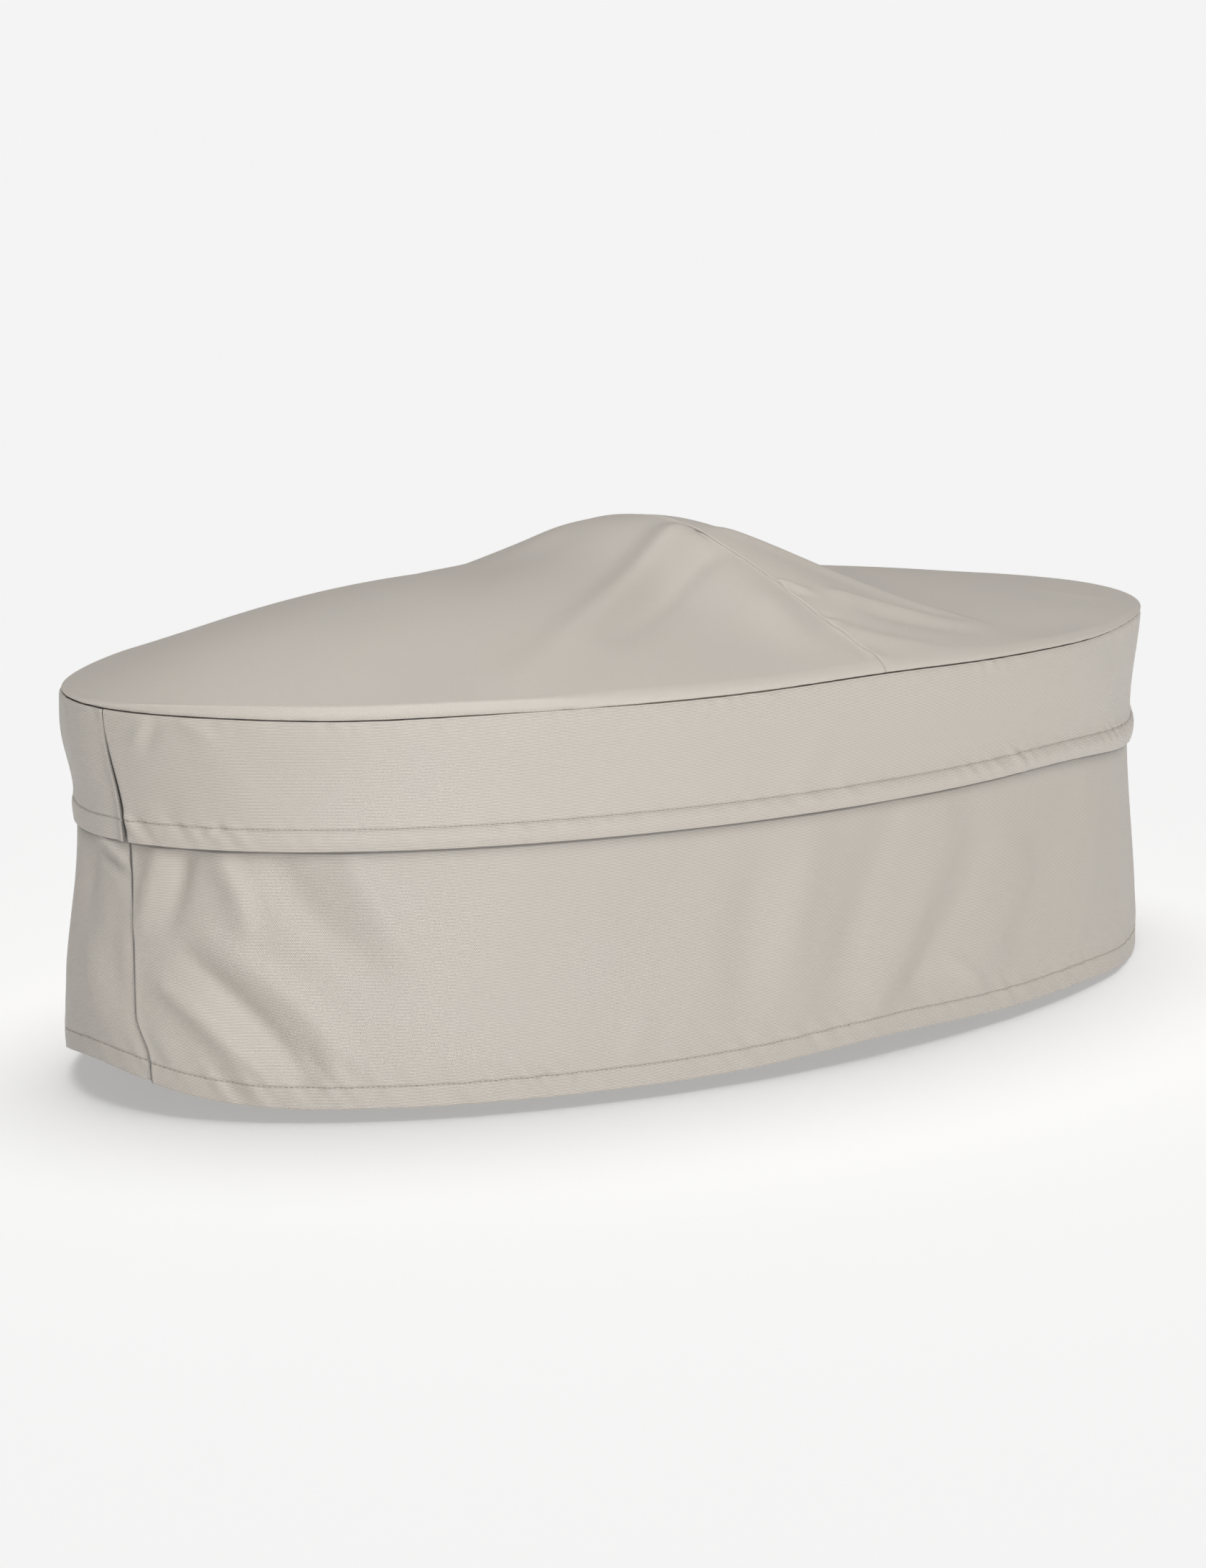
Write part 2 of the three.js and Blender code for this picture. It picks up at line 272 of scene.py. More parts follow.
@dataclass(frozen=True)
class Fold:
    """A soft ridge, or a trough where its heights are negative, along a bent line.

    Its height at a place is the sum, over short steps along the line, of the line's height
    times a Gaussian of the distance across it and along it. On the right of the line, looking
    along it, the Gaussian may be narrower or wider.
    """

    line: tuple[tuple[float, float], ...]
    heights: tuple[float, ...]
    width: float
    right: float = 1.0
    step: float = 0.45

    def lift(self, p: Array, q: Array) -> Array:
        """Height of the fold.

        Args:
            p: First coordinate of each place.
            q: Second coordinate of each place.

        Returns:
            The height at each place.
        """
        knots = np.array(self.line)
        lengths = np.hypot(*np.diff(knots, axis=0).T)
        run = np.concatenate([[0.0], np.cumsum(lengths)])
        count = max(3, math.ceil(run[-1] / (self.width * self.step)))
        at = (np.arange(count) + 0.5) * run[-1] / count
        share = at / run[-1]
        line_p = np.interp(at, run, knots[:, 0])
        line_q = np.interp(at, run, knots[:, 1])
        along_p = np.gradient(line_p)
        along_q = np.gradient(line_q)
        size = np.hypot(along_p, along_q)
        along_p, along_q = along_p / size, along_q / size
        marks = np.linspace(0.0, 1.0, len(self.heights))
        height = np.interp(share, marks, self.heights) * run[-1] / count / self.width / math.sqrt(np.pi)
        total = np.zeros(p.shape)
        for k in range(count):
            dp, dq = p - line_p[k], q - line_q[k]
            along = dp * along_p[k] + dq * along_q[k]
            across = dq * along_p[k] - dp * along_q[k]
            wide = np.where(across < 0.0, self.width * self.right, self.width)
            total += height[k] * np.exp(-np.square(along / self.width) - np.square(across / wide))
        return total


@dataclass(frozen=True)
class Puckers:
    """Small uneven gathers along a sewn line.

    The gathers are a sum of sines along the line with random lengths and phases. They slant,
    come in patches, and fade with Gaussians above and below the line.
    """

    seed: int
    height: float
    shortest: float
    longest: float
    slant: float
    above: float
    below: float
    waves: int = 7
    patches: int = 4
    patch_lengths: tuple[float, float] = (3.0, 9.0)
    least: float = 0.25

    def lift(self, along: Array, up: Array) -> Array:
        """Height of the gathers.

        Args:
            along: Way along the sewn line.
            up: Way up from the sewn line.

        Returns:
            The height at each place.
        """
        draw = np.random.default_rng(self.seed)
        lengths = draw.uniform(self.shortest, self.longest, self.waves)
        phases = draw.uniform(0.0, 2.0 * np.pi, self.waves)
        shares = draw.uniform(0.5, 1.0, self.waves)
        slow_lengths = draw.uniform(*self.patch_lengths, self.patches) * self.longest
        slow_phases = draw.uniform(0.0, 2.0 * np.pi, self.patches)
        at = along + self.slant * up
        total = np.zeros(at.shape)
        patch = np.zeros(at.shape)
        for length, phase, share in zip(lengths, phases, shares):
            total += share * np.sin(2.0 * np.pi * at / length + phase)
        for length, phase in zip(slow_lengths, slow_phases):
            patch += np.sin(2.0 * np.pi * along / length + phase)
        total /= math.sqrt(np.sum(np.square(shares)) / 2.0)
        fade = np.where(up > 0.0, bell(up, self.above), bell(up, self.below))
        patchy = self.least + (1.0 - self.least) * ease(0.5 + patch / 3.0)
        return self.height * total * fade * patchy


@dataclass(frozen=True)
class Hang:
    """How unevenly cloth hangs: broad shallow waves with random directions and phases.

    Where the squash is less than 1, the waves are longer in the second coordinate.
    """

    seed: int
    height: float
    shortest: float
    longest: float
    squash: float = 1.0
    waves: int = 9

    def lift(self, p: Array, q: Array) -> Array:
        """Height of the waves: a sum of sines of the way along random directions."""
        draw = np.random.default_rng(self.seed)
        total = np.zeros(np.broadcast(p, q).shape)
        for _ in range(self.waves):
            length = draw.uniform(self.shortest, self.longest)
            turn = draw.uniform(0.0, np.pi)
            phase = draw.uniform(0.0, 2.0 * np.pi)
            way = p * math.cos(turn) + q * self.squash * math.sin(turn)
            total += np.sin(2.0 * np.pi * way / length + phase)
        return self.height * total / math.sqrt(self.waves / 2.0)


def add_folds(folds: tuple[Fold, ...], p: Array, q: Array) -> Array:
    """Sum of the heights of several folds at each place."""
    total = np.zeros(np.broadcast(p, q).shape)
    for fold in folds:
        total += fold.lift(p, q)
    return total


class Nodes:
    """Short ways to add and join nodes in one tree."""

    def __init__(self, tree: bpy.types.NodeTree) -> None:
        """Keeps the tree.

        Args:
            tree: The tree that the nodes go into.
        """
        self.tree = tree

    def add(self, kind: str) -> bpy.types.Node:
        """Adds a node of a kind."""
        return self.tree.nodes.new(kind)

    def shader(self) -> bpy.types.Node:
        """The tree's own surface shader."""
        return next(n for n in self.tree.nodes if n.type == "BSDF_PRINCIPLED")

    def join(self, out: bpy.types.NodeSocket, into: bpy.types.NodeSocket) -> None:
        """Links an output to an input."""
        self.tree.links.new(out, into)

    def feed(self, value: object, into: bpy.types.NodeSocket) -> None:
        """Links a socket, or sets a number or colour, on an input."""
        if isinstance(value, bpy.types.NodeSocket):
            self.join(value, into)
        else:
            into.default_value = value

    def put(self, node: bpy.types.Node, values: dict[str, object]) -> None:
        """Feeds a node's inputs by their names."""
        for name, value in values.items():
            self.feed(value, node.inputs[name])

    def maths(self, operation: str, *values: object) -> bpy.types.NodeSocket:
        """Adds a Math node and gives its result."""
        node = self.add("ShaderNodeMath")
        node.operation = operation
        for value, into in zip(values, node.inputs):
            self.feed(value, into)
        return node.outputs[0]

    def noise(self, place: bpy.types.NodeSocket, scale: float, detail: float) -> bpy.types.NodeSocket:
        """Adds a noise of a scale and detail at a place and gives its strength."""
        node = self.add("ShaderNodeTexNoise")
        self.put(node, {"Scale": scale, "Detail": detail, "Vector": place})
        return node.outputs["Fac"]

    def mix(self, kind: str, share: object, a: object, b: object) -> bpy.types.NodeSocket:
        """Adds a colour Mix node of a blend kind and gives its result."""
        node = self.add("ShaderNodeMix")
        node.data_type = "RGBA"
        node.blend_type = kind
        self.feed(share, node.inputs[0])
        self.feed(a, node.inputs[6])
        self.feed(b, node.inputs[7])
        return node.outputs[2]

    def blend(self, share: object, a: object, b: object) -> bpy.types.NodeSocket:
        """Adds a plain colour blend from a to b."""
        return self.mix("MIX", share, a, b)


def new_material(name: str) -> tuple[bpy.types.Material, Nodes]:
    """Makes a material, and gives it with its nodes."""
    made = bpy.data.materials.new(name)
    made.use_nodes = True
    return made, Nodes(made.node_tree)


@dataclass(frozen=True)
class RibbedCloth:
    """Coated outdoor cloth with fine ribs along the weave map's U and a soft low gloss.

    Each piece is painted lighter or darker as a whole: painted light, for how the piece is lit.
    Dark and light are the weave's groove and thread tones; painted shade has a darker tone of its own.
    """

    name: str
    painted_light: float = 1.0
    dark: float = 0.56
    light: float = 1.4
    bump: float = 0.6
    colour: tuple[float, float, float] = (0.472, 0.43, 0.381)
    cool: tuple[float, float, float] = (0.985, 1.0, 1.015)
    # Tone of the painted shade, as a share of the cloth's colour
    painted_shade: float = 0.2
    rib_pitch: float = 0.0016
    thread_pitch: float = 0.0024
    thread_share: float = 0.35
    relief: float = 0.37
    patch_scale: float = 9.0
    patch_gain: float = 2.6
    patch_offset: float = -0.8
    grain_scale: float = 420.0
    mottle: float = 0.035
    bump_depth: float = 0.0005
    roughness: float = 0.52
    specular: float = 0.8

    def tone(self, factor: float) -> tuple[float, float, float, float]:
        """The cloth's colour, lighter or darker by a factor and by the piece's painted light."""
        return (*(min(1.0, c * factor * self.painted_light) for c in self.colour), 1.0)

    def weave(self, tree: Nodes) -> bpy.types.NodeSocket:
        """Height of the weave, from about 0 to 1.

        The ribs are a sine across the weave map's V. Each rib is broken into threads by a sine
        along U that shifts by half its length from rib to rib.

        Args:
            tree: The material's nodes.

        Returns:
            The height.
        """
        place = tree.add("ShaderNodeUVMap")
        place.uv_map = WEAVE_MAP
        split = tree.add("ShaderNodeSeparateXYZ")
        tree.join(place.outputs["UV"], split.inputs[0])
        u, v = split.outputs["X"], split.outputs["Y"]
        rib = tree.maths("SINE", tree.maths("MULTIPLY", v, 2.0 * math.pi / self.rib_pitch))
        row = tree.maths("FLOOR", tree.maths("MULTIPLY", v, 1.0 / self.rib_pitch))
        shift = tree.maths("MULTIPLY", row, math.pi)
        along = tree.maths("MULTIPLY", u, 2.0 * math.pi / self.thread_pitch)
        thread = tree.maths("SINE", tree.maths("ADD", along, shift))
        woven = tree.maths("ADD", rib, tree.maths("MULTIPLY", thread, self.thread_share))
        return tree.maths("MULTIPLY_ADD", woven, self.relief, 0.5)

    def tint(self, tree: Nodes, slow: bpy.types.NodeSocket) -> bpy.types.NodeSocket:
        """A factor that turns broad patches of the cloth a little cooler, by a slow noise."""
        warm = self.tone(1.0)
        cool = (*(c * share for c, share in zip(warm, self.cool)), 1.0)
        share = tree.maths("MULTIPLY_ADD", slow, self.patch_gain, self.patch_offset)
        return tree.mix("DIVIDE", 1.0, tree.blend(share, warm, cool), warm)

    def grain(self, tree: Nodes, fine: bpy.types.NodeSocket) -> bpy.types.NodeSocket:
        """A grey factor that mottles the cloth, by a fine noise."""
        speck = tree.maths("MULTIPLY_ADD", fine, self.mottle * 2.0, 1.0 - self.mottle)
        grey = tree.add("ShaderNodeCombineColor")
        for socket in grey.inputs:
            tree.join(speck, socket)
        return grey.outputs[0]

    def material(self) -> bpy.types.Material:
        """Builds the cloth: the weave's tones, times the two noises, darkened by painted shade.

        Returns:
            The material.
        """
        made, tree = new_material(self.name)
        height = self.weave(tree)
        place = tree.add("ShaderNodeTexCoord").outputs["Object"]
        slow = tree.noise(place, self.patch_scale, 3.0)
        fine = tree.noise(place, self.grain_scale, 2.0)
        tones = tree.blend(height, self.tone(self.dark), self.tone(self.light))
        tinted = tree.mix("MULTIPLY", 1.0, tones, self.tint(tree, slow))
        woven = tree.mix("MULTIPLY", 1.0, tinted, self.grain(tree, fine))
        # Painted shade: an attribute of each point darkens the colour where shade falls
        deep = tree.add("ShaderNodeAttribute")
        deep.attribute_name = PAINTED_SHADE_LAYER
        bump = tree.add("ShaderNodeBump")
        rough = tree.maths("ADD", height, tree.maths("MULTIPLY", fine, 0.5))
        tree.put(bump, {"Strength": self.bump, "Distance": self.bump_depth, "Height": rough})
        look = {
            "Base Color": tree.blend(deep.outputs["Fac"], woven, self.tone(self.painted_shade)),
            "Normal": bump.outputs["Normal"],
            "Roughness": self.roughness,
            "Specular IOR Level": self.specular,
        }
        tree.put(tree.shader(), look)
        return made


@dataclass(frozen=True)
class Thread:
    """Sewing thread, darker than the cloth, with a fine twist."""

    name: str = "sewing_thread"
    colour: tuple[float, float, float] = (0.26, 0.225, 0.185)
    dark: float = 0.7
    light: float = 1.35
    twist_scale: float = 160.0
    roughness: float = 0.6

    def material(self) -> bpy.types.Material:
        """Builds the thread: a noise in the object's own space varies its tone."""
        made, tree = new_material(self.name)
        place = tree.add("ShaderNodeTexCoord").outputs["Object"]
        vary = tree.noise(place, self.twist_scale, 2.0)
        dark, light = ((*(c * tone for c in self.colour), 1.0) for tone in (self.dark, self.light))
        tree.put(tree.shader(), {"Base Color": tree.blend(vary, dark, light), "Roughness": self.roughness})
        return made


@dataclass(frozen=True)
class PlainGlow:
    """A plain grey that glows a little, so that shadows on it stay pale."""

    name: str
    grey: float
    glow: float
    roughness: float

    def material(self) -> bpy.types.Material:
        """Builds the finish."""
        made, tree = new_material(self.name)
        look = {
            "Base Color": (self.grey, self.grey, self.grey, 1.0),
            "Roughness": self.roughness,
            "Specular IOR Level": 0.0,
            "Emission Color": (1.0, 1.0, 1.0, 1.0),
            "Emission Strength": self.glow,
        }
        tree.put(tree.shader(), look)
        return made


def to_row(points: Array) -> Array:
    """Millimetres above the hem's plane to metres in the row frame."""
    return (points - np.array([0.0, 0.0, CROWN_UNDERSIDE])) * METRE


def into_scene(made: bpy.types.Object) -> bpy.types.Object:
    """Puts an object into the scene."""
    bpy.context.scene.collection.objects.link(made)
    return made


def new_object(name: str, points: Array, faces: list) -> bpy.types.Object:
    """Makes a smooth mesh object.

    Args:
        name: Name of the object.
        points: Its points in the row frame, in metres.
        faces: Its faces, as lists of point numbers.

    Returns:
        The object, in the scene.
    """
    mesh = bpy.data.meshes.new(name)
    mesh.from_pydata(points.tolist(), [], faces)
    mesh.update()
    mesh.shade_smooth()
    mesh.set_sharp_from_angle(angle=SHARP_ANGLE)
    return into_scene(bpy.data.objects.new(name, mesh))


def add_layers(mesh: bpy.types.Mesh, weave: Array, painted_shade: Array) -> None:
    """Gives a mesh its weave map and its painted shade.

    Args:
        mesh: The mesh.
        weave: U and V of each point in metres.
        painted_shade: How dark each point is painted as shade, from 0 to 1.
    """
    corners = np.empty(len(mesh.loops), dtype=np.int32)
    mesh.loops.foreach_get("vertex_index", corners)
    layer = mesh.uv_layers.new(name=WEAVE_MAP)
    layer.data.foreach_set("uv", weave[corners].astype(np.float32).ravel())
    depth = mesh.attributes.new(PAINTED_SHADE_LAYER, "FLOAT", "POINT")
    depth.data.foreach_set("value", painted_shade.astype(np.float32))


@dataclass
class Sheet:
    """A closed sheet between an outer and an inner grid of points.

    Rows run down and columns to the right, as seen from outside. Points are in millimetres
    above the hem's plane, the weave in metres. With a pole the first row is one point.
    """

    outer: Array
    inner: Array
    weave: Array
    # How dark each point is painted as shade, from 0 to 1
    painted_shade: Array
    pole: bool = False

    def faces(self) -> tuple[list[Array], Array]:
        """Numbers the points of both faces, one after the other, and joins them.

        Returns:
            The four-cornered faces in groups, and the triangles round a pole.
        """
        rows, columns = self.outer.shape[:2]
        index = np.arange(rows * columns).reshape(rows, columns)
        if self.pole:
            index[0] = 0
        back = index + rows * columns
        start = int(self.pole)
        quads = []
        for grid, turned in ((index, False), (back, True)):
            a, b = grid[start:-1, :-1], grid[start + 1:, :-1]
            c, d = grid[start + 1:, 1:], grid[start:-1, 1:]
            ring = (a, d, c, b) if turned else (a, b, c, d)
            quads.append(np.stack(ring, axis=-1).reshape(-1, 4))
        quads.append(np.stack([index[:-1, 0], back[:-1, 0], back[1:, 0], index[1:, 0]], axis=-1))
        quads.append(np.stack([index[:-1, -1], index[1:, -1], back[1:, -1], back[:-1, -1]], axis=-1))
        quads.append(np.stack([index[-1, :-1], back[-1, :-1], back[-1, 1:], index[-1, 1:]], axis=-1))
        if not self.pole:
            quads.append(np.stack([index[0, :-1], index[0, 1:], back[0, 1:], back[0, :-1]], axis=-1))
            return quads, np.zeros((0, 3), dtype=int)
        fan = np.stack([index[0, :-1], index[1, :-1], index[1, 1:]], axis=-1)
        under = np.stack([back[0, :-1], back[1, 1:], back[1, :-1]], axis=-1)
        return quads, np.concatenate([fan, under])

    def build(self, name: str) -> bpy.types.Object:
        """Makes the sheet's object, without the points that a pole leaves over."""
        quads, triangles = self.faces()
        every = np.concatenate(quads)
        used = np.unique(np.concatenate([every.ravel(), triangles.ravel()]))
        renumber = np.zeros(2 * self.painted_shade.size, dtype=int)
        renumber[used] = np.arange(len(used))
        points = np.concatenate([self.outer.reshape(-1, 3), self.inner.reshape(-1, 3)])
        faces = renumber[every].tolist() + renumber[triangles].tolist()
        made = new_object(name, to_row(points[used]), faces)
        weave = np.concatenate([self.weave.reshape(-1, 2)] * 2)
        painted_shade = np.concatenate([self.painted_shade.ravel()] * 2)
        add_layers(made.data, weave[used], painted_shade[used])
        return made


@dataclass
class Wall:
    """A wall of cloth that hangs from the rim seam: what the band and the skirt share.

    Steps are those of the grid. The left gap is the left seam's opening at the rim and at the
    hem. The rim reach is how far down the wall follows the rim seam's rise and fall. Bumps at a
    seam are placed by the way from it, and the stitch dip by the way up from the stitched line.
    """

    oval: Oval
    side: Side
    column_step: float
    hem_height: float = 0.0
    row_step: float = 5.6
    fine_rows: tuple[Spot, ...] = ()
    left_gap: tuple[float, float] = (2.4, 2.4)
    right_seam: float = 978.0
    right_tuck: Bump = Bump(-1.5, 0.0, 3.0)
    stitch_dip: Bump = Bump(-0.8, 0.0, 1.7)
    rim_reach: float = 55.0
    swell_drop: float = 120.0
    # How far below the rim the seam's painted shade grows, and the painted shade along the stitched line
    seam_shade_drop: float = 60.0
    stitch_shade: float = 0.21
    stitch_shade_width: float = 1.5
    edge_steps: int = 4
    edge_share: float = 0.96
    least_edge: float = 0.1
    stitch_inset: float = 3.0

    @property
    def stitch_height(self) -> float:
        """Height of the stitched line along the top of the hem."""
        return self.hem_height + HEM_WIDTH

    def stands_in(self, height: Array) -> Array:
        """How far the wall stands in from the rim at a height."""
        raise NotImplementedError

    def detail(self, arc: Array, height: Array) -> Array:
        """How far folds and gathers stand out."""
        raise NotImplementedError

    def left_seam(self, height: Array) -> Array:
        """Arc of the left seam at a height."""
        raise NotImplementedError

    def shift(self, arc: Array, height: Array) -> Array:
        """How much a point is moved up."""
        raise NotImplementedError

    def under_rim(self, arc: Array) -> Array:
        """How far the wall's top edge lies under the rim seam."""
        return self.oval.rim_gap(arc)

    def span(self, height: Array) -> tuple[Array, Array]:
        """The arcs between which the piece lies at a height."""
        seam = self.left_seam(height)
        down = np.clip((RIM_HEIGHT - height) / (RIM_HEIGHT - self.hem_height), 0.0, 1.0)
        at_rim, at_hem = self.left_gap
        half_gap = (at_rim + (at_hem - at_rim) * down**1.5) / 2.0
        if self.side is Side.FRONT:
            return seam + half_gap, np.full_like(seam, self.right_seam - HALF_GAP)
        return np.full_like(seam, self.right_seam + HALF_GAP), seam - half_gap + self.oval.perimeter

    def seam_edge(self, after: Array, before: Array, height: Array) -> Array:
        """How far the cloth stands out, by the way after its first edge and before its last."""
        raise NotImplementedError

    def painted_shade(self, arc: Array, height: Array) -> Array:
        """Painted shade where shade falls: along the left seam's edge and the stitched line."""
        first, last = self.span(height)
        away = arc - first if self.side is Side.FRONT else last - arc
        seam = SEAM_SHADE.at(away) * ease((RIM_HEIGHT - height) / self.seam_shade_drop)
        line = self.stitch_shade * bell(height - self.stitch_height, self.stitch_shade_width)
        return np.maximum(seam, line)

    def out(self, arc: Array, height: Array) -> Array:
        """How far the outer face stands out from the rim."""
        first, last = self.span(height)
        right = ease((RIM_HEIGHT - height) / self.swell_drop) * self.oval.rise(arc, RIGHT_SWELL)
        edge = self.seam_edge(arc - first, last - arc, height)
        return self.detail(arc, height) + right + edge - self.stands_in(height)

    def face(self, arc: Array, height: Array, inwards: Array) -> Array:
        """Points of a face of the cloth.

        Args:
            arc: Arc of each point.
            height: Height of each point before the hem's own lift.
            inwards: How deep each point lies under the outer face.

        Returns:
            The points.
        """
        out = self.out(arc, height) - inwards
        share = ease(1.0 - (RIM_HEIGHT - height) / self.rim_reach)
        follow = share * (self.oval.rim_wave(arc) - self.under_rim(arc))
        return self.oval.place(self.oval.angle_at(arc), height + self.shift(arc, height) + follow, out)

    def row_heights(self) -> tuple[Array, Array, Array]:
        """Heights of the rows, with how deep the two faces lie in each.

        The last rows turn the hem's edge: both faces run together along a half circle.

        Returns:
            Heights from the top down, depths of the outer face, and depths of the inner face.
        """
        radius = HEM_THICKNESS / 2.0
        hem_line = Spot(self.stitch_height, 1.1, 9.0)
        spots = [hem_line, Spot(RIM_HEIGHT, 1.2, 8.0), Spot(self.hem_height, 2.4, 12.0), *self.fine_rows]
        rise = graded(self.hem_height + radius, RIM_HEIGHT - HALF_GAP, self.row_step, spots)
        heights = rise[::-1]
        doubled = ease((self.stitch_height - heights) / 2.0 + 0.5)
        thick = CLOTH_THICKNESS + (HEM_THICKNESS - CLOTH_THICKNESS) * doubled
        turn = np.linspace(0.0, 1.0, self.edge_steps + 1)[1:] * math.pi / 2.0
        edge = self.hem_height + radius * (1.0 - np.sin(turn))
        outer = np.concatenate([np.zeros_like(heights), radius * (1.0 - np.cos(turn) * self.edge_share)])
        inner = np.concatenate([thick, radius * (1.0 + np.cos(turn) * self.edge_share)])
        inner[-1] = outer[-1] + self.least_edge
        return np.concatenate([heights, edge]), outer, inner

    def mesh(self, name: str) -> bpy.types.Object:
        """Builds the piece.

        The grid's columns share out the span between the two seams at each height, and crowd
        at the seams.

        Args:
            name: Name of the object.

        Returns:
            The object.
        """
        heights, outer_depth, inner_depth = self.row_heights()
        first, last = self.span(heights)
        whole = float(last[0] - first[0])
        seams = [Spot(place, 0.9, 14.0) for place in (0.0, whole)]
        places = graded(0.0, whole, self.column_step, seams) / whole
        arc = first[:, None] + (last - first)[:, None] * places[None, :]
        height = np.repeat(heights[:, None], len(places), axis=1)
        outer = self.face(arc, height, outer_depth[:, None])
        inner = self.face(arc, height, inner_depth[:, None])
        weave = np.stack([arc, height], axis=-1) * METRE
        return Sheet(outer, inner, weave, self.painted_shade(arc, height)).build(name)

    def stitches(self, name: str) -> bpy.types.Object:
        """A row of stitches along the top of the hem, from seam to seam."""
        first, last = self.span(np.array([self.stitch_height]))

        def surface(run: Array) -> Array:
            """Points of the row on the outer face, at each arc."""
            return self.face(run, np.full_like(run, self.stitch_height), np.zeros_like(run))

        start = float(first[0]) + self.stitch_inset
        return Stitching().row(name, surface, start, float(last[0]) - self.stitch_inset)


def unit(directions: Array) -> Array:
    """Directions with their lengths made 1."""
    return directions / np.linalg.norm(directions, axis=1)[:, None]


@dataclass
class Stitching:
    """A row of lockstitches, each a small spindle that sinks into the cloth at its ends."""

    pitch: float = 6.0
    length: float = 4.3
    width: float = 0.85
    proud: float = 0.25
    rings: int = 3
    sides: int = 5
    taper: float = 0.6
    lean: float = 0.035
    sizes: tuple[float, float] = (0.9, 1.05)
    seed: int = 17

    def spindle(self) -> tuple[Array, list[list[int]]]:
        """One stitch around its own middle, along x: rings whose radius goes as a half sine.

        Returns:
            Its points and its faces.
        """
        t = (np.arange(self.rings) + 1.0) / (self.rings + 1.0)
        turn = np.arange(self.sides) * 2.0 * np.pi / self.sides
        radius = np.sin(np.pi * t)[:, None] ** self.taper * self.width / 2.0
        x = np.repeat(((t - 0.5) * self.length)[:, None], self.sides, axis=1)
        body = np.stack([x, radius * np.cos(turn), radius * np.sin(turn)], axis=-1).reshape(-1, 3)
        ends = np.array([[-self.length / 2.0, 0.0, 0.0], [self.length / 2.0, 0.0, 0.0]])
        first, last = len(body), len(body) + 1
        faces = []
        for j in range(self.sides):
            k = (j + 1) % self.sides
            faces.append([first, k, j])
            for i in range(self.rings - 1):
                row = i * self.sides
                faces.append([row + j, row + k, row + self.sides + k, row + self.sides + j])
            row = (self.rings - 1) * self.sides
            faces.append([row + j, row + k, last])
        return np.concatenate([body, ends]), faces

    def row(
        self,
        name: str,
        surface: Callable[[Array], Array],
        start: float,
        end: float,
    ) -> bpy.types.Object:
        """A row of stitches along a line on the cloth, each a little askew.

        Args:
            name: Name of the object.
            surface: Gives points in millimetres for arcs along the row.
            start: Arc of the row's start.
            end: Arc of the row's end.

        Returns:
            The object.
        """
        count = int((end - start) // self.pitch)
        at = start + (np.arange(count) + 0.5) * (end - start) / count
        draw = np.random.default_rng(self.seed)
        up = np.array([0.0, 0.0, 1.0])
        middle = surface(at)
        along = unit(surface(at + 1.0) - surface(at - 1.0))
        along = unit(along + draw.normal(0.0, self.lean, count)[:, None] * up)
        outward = unit(np.cross(along, up))
        upward = np.cross(outward, along)
        shape, faces = self.spindle()
        scale = draw.uniform(*self.sizes, count)[:, None, None]
        frames = np.stack([along, outward, upward], axis=1)
        points = np.einsum("kc,ncd->nkd", shape, frames) * scale
        points += (middle + outward * self.proud)[:, None, :]
        base = np.arange(count)[:, None, None] * len(shape)
        every = []
        for size in (3, 4):
            group = np.array([face for face in faces if len(face) == size])
            every += (group[None] + base).reshape(-1, size).tolist()
        return new_object(name, to_row(points.reshape(-1, 3)), every)


# Gathers at the band's stitched line and at the rim, and how unevenly the band hangs
BAND_GATHERS = (
    Puckers(seed=3, height=0.75, shortest=22.0, longest=75.0, slant=0.9, above=8.0, below=24.0),
    Puckers(seed=8, height=0.3, shortest=11.0, longest=26.0, slant=-0.5, above=7.0, below=12.0),
)
RIM_GATHERS = Puckers(seed=11, height=0.6, shortest=20.0, longest=80.0, slant=0.4, above=2.0, below=15.0)
BAND_HANG = Hang(seed=5, height=0.5, shortest=90.0, longest=420.0, squash=0.6)


